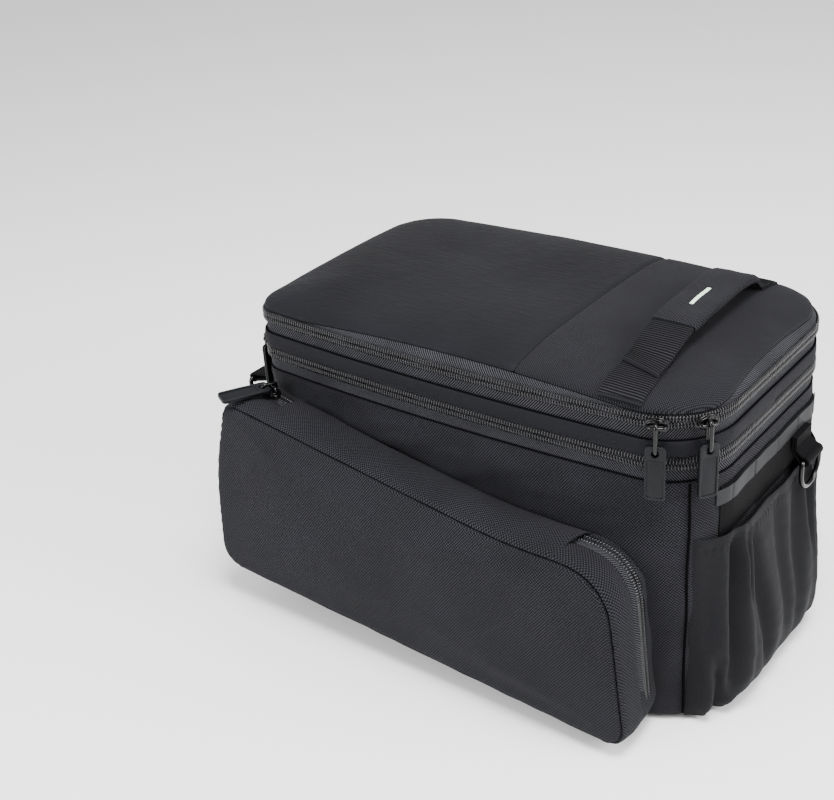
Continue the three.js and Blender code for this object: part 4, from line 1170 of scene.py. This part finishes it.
def build_flap(name, gusset, puffs, soft):
    """Flap over the upper stretch of the zip, with folded edges, and the stitches near it"""
    run = np.arange(CORNER_STEPS + 3, 2 * CORNER_STRIDE - 1)
    shares = np.linspace(ZIP_START - 0.04, FLAP_END, FLAP_ROWS)
    s = gusset.s[run]
    end = np.minimum(np.arange(len(run)), np.arange(len(run))[::-1]) / 3
    fold = 2.6 * MM
    lifts = []
    for k in range(FLAP_ROWS):
        across = k / (FLAP_ROWS - 1)
        arch = (1.6 + 4.4 * math.sin(math.pi * across) ** 0.85) * MM
        edge = fold * (1 - smooth_step(across * 6)) + fold * (1 - smooth_step((1 - across) * 7))
        ripple = 0.45 * MM * puffs(s, across * 0.04) + 0.3 * MM * soft(s, across * 0.04)
        closing = 0.3 * MM * (1 - smooth_step(end))
        lifts.append(arch - edge + ripple * math.sin(math.pi * across) - closing)
    flap = pocket_cloth(f"{name}_flap_cloth", gusset, run, shares, lifts, 1.1 * MM)
    piece(flap, body_look, "woven_cloth", f"{name}_pocket_flap")

    below = np.arange(2 * CORNER_STRIDE + 4, 3 * CORNER_STRIDE)
    line = gusset.at(below, ZIP_END + 0.09, 2.0 * MM)
    stitch_row(f"{name}_gusset_stitches", line, gusset.at(below, ZIP_END + 0.09, 3.0 * MM) - line)
    line = pocket_grid(gusset, run, shares, lifts)[:, -4][3:-3]
    raised = pocket_grid(gusset, run, shares, np.array(lifts) + MM)[:, -4][3:-3]
    stitch_row(f"{name}_flap_stitches", line, raised - line)


def build_panel(name, side, gusset):
    """Panel with a rolled edge, a seam groove inside it and a soft crown, and the cord in its seam"""
    centre = gusset.panel.mean(0)
    loops = []
    inset = np.array([1.2, 0.4, 0.0, 0.0, 0.4, 1.1, 2.1, 3.4, 5.0, 7.0]) * MM
    height = np.array([-4.4, -4.0, -3.2, -2.2, -1.2, -0.4, 0.15, 0.55, 0.8, 0.95]) * MM
    for d, h in zip(inset, height):
        loops.append((gusset.panel - gusset.panel_normal * d, np.full(gusset.count, h)))
    base = gusset.panel - gusset.panel_normal * inset[-1]
    inward = np.linalg.norm(base - centre, axis=1)
    sway, crumple = Ripple(80 * MM, 51 + side), Ripple(24 * MM, 53 + side)
    for share in (0.04, 0.08, 0.13, 0.19, 0.26, 0.34, 0.43, 0.53, 0.63, 0.73, 0.82, 0.9, 0.96, 0.99):
        flat = base + (centre - base) * share
        x, z = flat[:, 0], flat[:, 1]
        reach = smooth_step(np.minimum(1, share * inward / (42 * MM)))
        crown = 0.95 * MM + PANEL_CROWN * reach + 0.95 * MM * sway(x, z) * reach
        loops.append((flat, crown + 0.26 * MM * crumple(x, z) * reach))
    points = np.stack([np.stack([f[:, 0], side * (PANEL_Y + h), f[:, 1]], 1) for f, h in loops])
    back = points[0].copy()
    back[:, 1] = side * (PANEL_Y - 5.2 * MM)
    vertices, faces = swept(np.concatenate([[back], points]))
    panel = outward(make_object(f"{name}_panel_cloth", vertices, faces, crease=60))
    flat_uv(panel)
    piece(panel, body_look, "woven_cloth", f"{name}_pocket_panel")

    seam = gusset.panel - gusset.panel_normal * 0.5 * MM
    path = np.stack([seam[:, 0], np.full(gusset.count, side * (PANEL_Y - 4.2 * MM)), seam[:, 1]], 1)
    cord = tube(f"{name}_panel_cord", path, CORD_RADIUS, 6, closed=True, up=(0, 1, 0))
    piece(cord, cord_look, "webbing", f"{name}_pocket_welt")


def build_pocket(name, side):
    gusset = Gusset(side)
    puffs, soft = Ripple(34 * MM, 41 + side), Ripple(70 * MM, 45 + side)
    build_gusset(name, gusset, puffs)
    build_pocket_zip(name, gusset)
    build_flap(name, gusset, puffs, soft)
    build_panel(name, side, gusset)


# Rear face
FOLDS = [
    # s at the rim, s at the foot, width, depth, lowest and highest share of the height
    (-60, -67, 4.8, 7.0, 0.1, 1.0), (-50, -46, 2.8, 4.2, 0.6, 0.99), (-40, -26, 5.5, 3.6, 0.12, 0.97),
    (-80, -73, 3.6, 6.0, -0.1, 0.4), (-4, 6, 6.5, 2.6, 0.2, 0.99), (30, 20, 6.5, 2.4, 0.1, 0.98),
    (46, 52, 4.0, 3.0, 0.5, 0.99), (62, 66, 5.0, 5.5, 0.0, 0.98), (79, 76, 4.0, 4.5, -0.1, 0.5),
]


def rear_pocket_grid():
    """Outside of the rear pocket: s across it, up from its foot to its rim, and out from the wall"""
    s = np.linspace(-POCKET_HALF_SPAN, POCKET_HALF_SPAN, 230)
    up = np.concatenate([np.linspace(0, 0.08, 8), np.linspace(0.1, 0.93, 52), np.linspace(0.94, 1.0, 9)])
    share = up[:, None]
    across = np.abs(s) / POCKET_HALF_SPAN
    heights = [0, 0.05, 0.14, 0.3, 0.52, 0.76, 0.92, 1]
    rise = np.interp(up, heights, [0.16, 0.78, 0.98, 1, 0.72, 0.47, 0.37, 0.36])
    rise = np.convolve(np.pad(rise, 2, mode="edge"), np.ones(5) / 5, "valid")
    span = np.interp(across, [0, 0.55, 0.78, 0.92, 1], [1, 0.94, 0.72, 0.34, 0.0])
    rim = REAR_RIM_Z + 3 * MM * across ** 3
    out = 0.6 * MM + rise[:, None] * span[None] * REAR_BULGE
    edge = smooth_step((1 - across) * 9)
    for top, foot, width, depth, low, high in FOLDS:
        at = (foot + (top - foot) * share) * MM
        reach = smooth_step((up - low + 0.1) / 0.22) * smooth_step((high + 0.05 - up) / 0.24)
        valley = -1.25 * depth * MM * bump(s[None], at, width * MM)
        shoulder = 0.45 * depth * MM * bump(np.abs(s[None] - at), 2.1 * width * MM, 1.2 * width * MM)
        out += (valley + shoulder) * reach[:, None] * edge
    slow, fine = Ripple(46 * MM, 61), Ripple(16 * MM, 62)
    out += (0.8 * MM * slow(s[None], share * 0.1) + 0.15 * MM * fine(s[None], share * 0.14)) * edge
    gathers = np.sin(2 * math.pi * s / (4.6 * MM) + 1.3 * slow(s * 2, 0))
    near_rim = bump(share, 0.935, 0.03)
    out += (0.12 + 0.22 * np.abs(slow(s * 0.7, 0))) * MM * gathers[None] * near_rim * edge
    hem = smooth_step((share - 0.945) / 0.012) * (1 - smooth_step((share - 0.985) / 0.02))
    out += 0.9 * MM * hem * edge
    out = np.maximum(out, 0.5 * MM)
    z = REAR_FOOT_Z + (rim[None] - REAR_FOOT_Z) * share
    sag = 1.2 * MM * np.maximum(0, slow(s[None], 0 * share))
    return wall(s[None], out, z - sag * smooth_step((share - 0.7) / 0.3))


def build_rear_face():
    points = rear_pocket_grid()
    v, u = way_along(points[:, POCKET_MIDDLE_COLUMN]), way_along(points[POCKET_LOW_ROW])
    pocket = cloth("rear_pocket_cloth", points, uv_grid(u, v), 0.8 * MM)
    piece(pocket, thin_look, "thin_cloth", "rear_pocket")

    for name, side in (("left", -1), ("right", 1)):
        z = np.linspace(BASE_RADIUS, HEIGHT - 1 * MM, 120)
        at = side * (POCKET_HALF_SPAN + 1.6 * MM) + 0.3 * MM * np.sin(z / (11 * MM))
        seam = tube(f"corner_seam_cord_{name}", wall(at, 1.9 * MM, z), CORD_RADIUS, 10, up=(1, 0, 0))
        piece(seam, cord_look, "webbing", f"corner_seam_{name}")

    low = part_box("rear_webbing")[0].z
    strip_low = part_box("reflective_strip")[0].z
    strip_top = strip_low + STRIP_HEIGHT
    s = np.linspace(-WEBBING_HALF_SPAN, WEBBING_HALF_SPAN, 150)
    z = np.linspace(low, strip_top + 1.5 * MM, 24)
    lift = 1.2 * MM - 0.4 * MM * np.abs(np.linspace(-1, 1, 24)) ** 8
    points = wall(s[None], lift[:, None] + BODY_BULGE * 0.4, z[:, None])
    uv = np.stack(np.broadcast_arrays(z[:, None], s[None]), -1)
    band = cloth("rear_webbing_band", points, uv, 2.2 * MM)
    piece(band, flat_webbing_look, "webbing", "rear_webbing")

    s = np.linspace(-WEBBING_HALF_SPAN - 3.5 * MM, WEBBING_HALF_SPAN + 3.5 * MM, 150)
    z = np.linspace(strip_low - 1.5 * MM, strip_top, 9)
    tucks = sum(bump(s, place * MM, 0.8 * MM) for place in (-62, -29, 5, 38, 63))
    waves = Ripple(30 * MM, 71)
    points = wall(s[None], 2.4 * MM + 0.25 * MM * waves(s, 0)[None] - 0.7 * MM * tucks[None], z[:, None])
    strip = cloth("reflective_strip_cloth", points, uv_grid(s, z), 0.6 * MM)
    piece(strip, strip_look, "grey_strip", "reflective_strip")


# Stitches
def stitch_row(name, path, lift, spacing=3.2 * MM, length=2.1 * MM, radius=0.22 * MM):
    """Short raised threads along a path; lift gives the direction that they stand out in"""
    way = way_along(path)
    parts = []
    for start in np.arange(spacing / 2, way[-1] - length, spacing):
        at = start + np.array([0, 0.25, 0.75, 1]) * length
        out = unit(on_path(lift, way, at))
        line = on_path(path, way, at) + out * (np.array([-0.3, 0.15, 0.15, -0.3]) * MM)[:, None]
        parts.append(swept(tube_loops(line, radius, 5, up=out[0])))
    return piece(gather(name, parts, 80), thread_look, "tape_cloth")


# Tabs and rings
def placed(name, parts, matrix, crease=CREASE):
    made = gather(name, parts, crease)
    made.data.transform(matrix)
    made.data.update()
    return outward(made)


def frame_matrix(along, up, out, place):
    return Matrix.Translation(place) @ Matrix((along, up, out)).transposed().to_4x4()


def soft_line(points, steps):
    """Rounds the bends of an open line by cutting its corners again and again"""
    line = np.asarray(points, float)
    for _ in range(steps):
        a = line[:-1] * 0.75 + line[1:] * 0.25
        b = line[:-1] * 0.25 + line[1:] * 0.75
        line = np.concatenate([line[:1], np.stack([a, b], 1).reshape(-1, line.shape[1]), line[-1:]])
        if len(line) > 160:
            break
    return line


def build_tab(name, side):
    """Folded tab at the rear or front face, and the ring that hangs in its fold"""
    low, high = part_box(f"{name}_tab")
    ring_low, ring_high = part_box(f"{name}_ring")
    middle_y = (low.y + high.y) / 2
    bar_x = (ring_low.x + ring_high.x) / 2
    bar_z = ring_high.z - 1.75 * MM
    seat = abs(LENGTH / 2 - (abs(low.x) if side > 0 else abs(high.x)))
    reach = abs(bar_x) - LENGTH / 2
    turn = np.radians(np.linspace(100, -150, 22))
    roll = [(reach + 3.0 * MM * math.cos(t), 3.0 * MM * math.sin(t)) for t in turn]
    top = high.z - bar_z
    path = [(seat + 3.1 * MM, top), (seat + 3.1 * MM, top - 4 * MM), (seat + 3.1 * MM, 9.0 * MM)]
    path += [(seat + (reach - seat) * 0.3, 7.2 * MM)] + roll
    path += [(seat + (reach - seat) * 0.25, 4.4 * MM), (seat + 1.0 * MM, 7.0 * MM), (seat + 1.0 * MM, top)]
    line = soft_line(path, 2)
    tangent = unit(np.gradient(line, axis=0))
    normal = np.stack([tangent[:, 1], -tangent[:, 0]], 1)
    half, inner, thick = (high.y - low.y) / 2, (high.y - low.y) / 2 - 0.5 * MM, 0.95 * MM
    section = [(-inner, -thick), (inner, -thick), (half, 0.0)]
    section += [(inner, thick), (-inner, thick), (-half, 0.0)]
    loops = []
    for point, n in zip(line, normal):
        loops.append([(x, point[1] + n[1] * t, point[0] + n[0] * t) for x, t in section])
    axes = (0, side, 0), (0, 0, 1), (side, 0, 0)
    matrix = frame_matrix(*axes, (side * LENGTH / 2, middle_y, bar_z))
    tab = placed(f"{name}_tab_webbing", [swept(loops)], matrix)
    flat_uv(tab)
    piece(tab, flat_webbing_look, "webbing", f"{name}_tab")

    radius = (ring_high.y - ring_low.y) / 2 - 1.75 * MM
    drop = ring_high.z - ring_low.z - 3.5 * MM
    bend = np.radians(np.linspace(0, 180, 28))
    points = [(-radius + 3 * MM, 0, 0), (0, 0, 0), (radius - 3 * MM, 0, 0), (radius - 1 * MM, -0.4 * MM, 0)]
    points += [(radius, -1.6 * MM, 0)]
    points += [(radius * math.cos(a), -(drop - radius) - radius * math.sin(a), 0) for a in bend]
    points += [(-radius, -1.6 * MM, 0), (-radius + 1 * MM, -0.4 * MM, 0)]
    wire = swept(tube_loops(points, RING_WIRE, 14, closed=True), True)
    ring = placed(f"{name}_ring_wire", [wire], frame_matrix(*axes, (bar_x, middle_y, bar_z)), 80)
    piece(ring, metal_look, "black_metal", f"{name}_ring", body=f"{name}_ring")


# Zip sliders and their pulls
def rounded_rectangle(half_x, low, high, radius, steps=7):
    corners = [(half_x, high, 0), (-half_x, high, 90), (-half_x, low, 180), (half_x, low, 270)]
    points = []
    for x, y, start in corners:
        cx, cy = x - math.copysign(radius, x), y - (radius if y == high else -radius)
        for turn in np.radians(start + np.linspace(0, 90, steps)):
            points.append((cx + radius * math.cos(turn), cy + radius * math.sin(turn)))
    return points


def circle(radius, centre=(0, 0), steps=28):
    turn = np.linspace(0, 2 * math.pi, steps, endpoint=False)
    return [(centre[0] + radius * math.cos(t), centre[1] + radius * math.sin(t)) for t in turn]


def plate(loops, thickness, bevel, z):
    """Vertices and faces of a flat plate with holes and rounded edges, centred on z"""
    curve = bpy.data.curves.new("plate", "CURVE")
    curve.dimensions = "2D"
    curve.fill_mode = "BOTH"
    curve.extrude = thickness / 2 - bevel
    curve.bevel_depth = bevel
    curve.bevel_resolution = 2
    curve.offset = -bevel
    for loop in loops:
        spline = curve.splines.new("POLY")
        spline.points.add(len(loop) - 1)
        for point, (x, y) in zip(spline.points, loop):
            point.co = (x, y, 0, 1)
        spline.use_cyclic_u = True
    holder = add_object("plate", curve)
    mesh = bpy.data.meshes.new_from_object(holder.evaluated_get(bpy.context.evaluated_depsgraph_get()))
    work = bmesh.new()
    work.from_mesh(mesh)
    bmesh.ops.remove_doubles(work, verts=work.verts, dist=1e-6)
    work.verts.index_update()
    vertices = [(v.co.x, v.co.y, v.co.z + z) for v in work.verts]
    faces = [[v.index for v in f.verts] for f in work.faces]
    work.free()
    bpy.data.objects.remove(holder)
    bpy.data.curves.remove(curve)
    bpy.data.meshes.remove(mesh)
    return vertices, faces


def build_slider(name, place, out, hang, link_length):
    """Slider with its link and rubber pull; out points off the chain and hang down the pull"""
    out, hang = Vector(out).normalized(), Vector(hang)
    along = out.cross(hang).normalized()
    up = out.cross(along).normalized()
    matrix = frame_matrix(along, up, out, place)
    turn = np.linspace(0, 2 * math.pi, 36, endpoint=False)
    egg = [(7.8 * MM * math.cos(t), (5.0 + 1.0 * math.cos(t)) * MM * math.sin(t)) for t in turn]
    crown = [(0.82 * x, 0.78 * y) for x, y in egg]
    body = [plate([egg], 1.4 * MM, 0.55 * MM, 1.4 * MM), plate([crown], 1.3 * MM, 0.6 * MM, 2.4 * MM)]
    bridge = 6.0 * MM
    arch = [(-5.6, 1.8), (-5.7, 4.7), (-3.2, 6.5), (3.2, 6.5), (5.7, 4.7), (5.6, 1.8)]
    arch = soft_line([(x * MM, 0, z * MM) for x, z in arch], 4)
    body.append(swept(tube_loops(arch, 1.15 * MM, 10, up=(0, 1, 0))))
    piece(placed(f"{name}_slider_body", body, matrix, 60), metal_look, "black_metal", f"{name}_slider")

    radius = 2.5 * MM
    bend = np.radians(np.linspace(-90, 90, 12))
    loop = [(0, radius * math.cos(a), bridge + radius * math.sin(a)) for a in bend]
    loop += [(0, -link_length - radius * math.cos(a), bridge - radius * math.sin(a)) for a in bend]
    wire = swept(tube_loops(loop, LINK_WIRE, 10, True, up=(1, 0, 0)), True)
    piece(placed(f"{name}_link_wire", [wire], matrix, 80), metal_look, "black_metal", f"{name}_link")

    hole = -link_length - 2.6 * MM
    high, low, half = hole + 5 * MM, hole + 5 * MM - PULL_LENGTH, PULL_WIDTH / 2
    outline = rounded_rectangle(half, low, high, 2.8 * MM)
    inner = rounded_rectangle(half - 1.5 * MM, low + 1.5 * MM, hole - 4.3 * MM, 1.6 * MM)
    eye = circle(PULL_HOLE, (0, hole))
    parts = [plate([outline, eye], PULL_THICKNESS, 0.4 * MM, bridge)]
    parts.append(plate([outline, inner, eye], PULL_RIM_THICKNESS, 0.5 * MM, bridge))
    piece(placed(f"{name}_pull_rubber", parts, matrix, 60), rubber_look, "rubber", f"{name}_pull")


def build_sliders():
    for name, s, z, length in (
        ("upper_zip_first", FIRST_SLIDER, UPPER_CHAIN_Z, 14.5 * MM),
        ("upper_zip_second", SECOND_SLIDER, UPPER_CHAIN_Z, 14.5 * MM),
        ("lower_zip", float(front_distance(-WIDTH / 2 + 16 * MM)), LOWER_CHAIN_Z, 8 * MM),
    ):
        s = np.array(s)
        build_slider(name, Vector(wall(s, SLIDER_SEAT, z)), (*plan_normal(s), 0), (0, 0, -1), length)
    for name, side in (("left", -1), ("right", 1)):
        gusset = Gusset(side)
        place = gusset.at(np.array(CORNER_STEPS), ZIP_MIDDLE, 3.9 * MM)
        above = gusset.at(np.array(CORNER_STEPS), ZIP_MIDDLE, 4.9 * MM)
        build_slider(f"{name}_pocket", Vector(place), above - place, (-0.45, side, 0), 6 * MM)


build_body()
build_bands()
build_chains()
build_handle(build_lid())
for pocket_name, pocket_side in (("left", -1), ("right", 1)):
    build_pocket(pocket_name, pocket_side)
build_rear_face()
build_tab("rear", 1)
build_tab("front", -1)
build_sliders()


def stage():
    """Pale floor, soft light and the photograph's camera"""
    size = 6.0
    corners = [(-size, -size, 0), (size, -size, 0), (size, size, 0), (-size, size, 0)]
    floor = make_object("floor", corners, [(0, 1, 2, 3)])
    paint = Look("pale_floor", (0.86, 0.86, 0.86), 0.85, Specular_IOR_Level=0.1)
    floor.data.materials.append(paint.finish())

    world = bpy.data.worlds.new("studio")
    bpy.context.scene.world = world
    world.use_nodes = True
    backdrop = world.node_tree.nodes["Background"]
    backdrop.inputs["Color"].default_value = (1.0, 1.0, 1.0, 1)
    backdrop.inputs["Strength"].default_value = 0.95

    target = Vector((0.0, 0.0, 0.13))
    for name, place, width, power in (
        ("key", (0.45, -0.35, 1.8), 0.7, 66.0),
        ("rear", (1.6, 0.3, 1.0), 0.8, 40.0),
        ("front", (-0.7, -1.6, 0.8), 0.8, 38.0),
    ):
        light = bpy.data.lights.new(name, "AREA")
        light.size = width
        light.energy = power
        lamp = add_object(name, light)
        lamp.location = place
        lamp.rotation_euler = (target - lamp.location).to_track_quat("-Z", "Y").to_euler()

    lens = bpy.data.cameras.new("photograph")
    lens.sensor_width = SENSOR_WIDTH
    lens.lens = SENSOR_WIDTH * FOCAL_PIXELS / IMAGE_WIDTH
    camera = add_object("photograph", lens)
    axes = Matrix((CAMERA_RIGHT, -CAMERA_DOWN, -CAMERA_FORWARD)).transposed().to_4x4()
    camera.matrix_world = Matrix.Translation(CAMERA_PLACE) @ axes
    bpy.context.scene.camera = camera


stage()
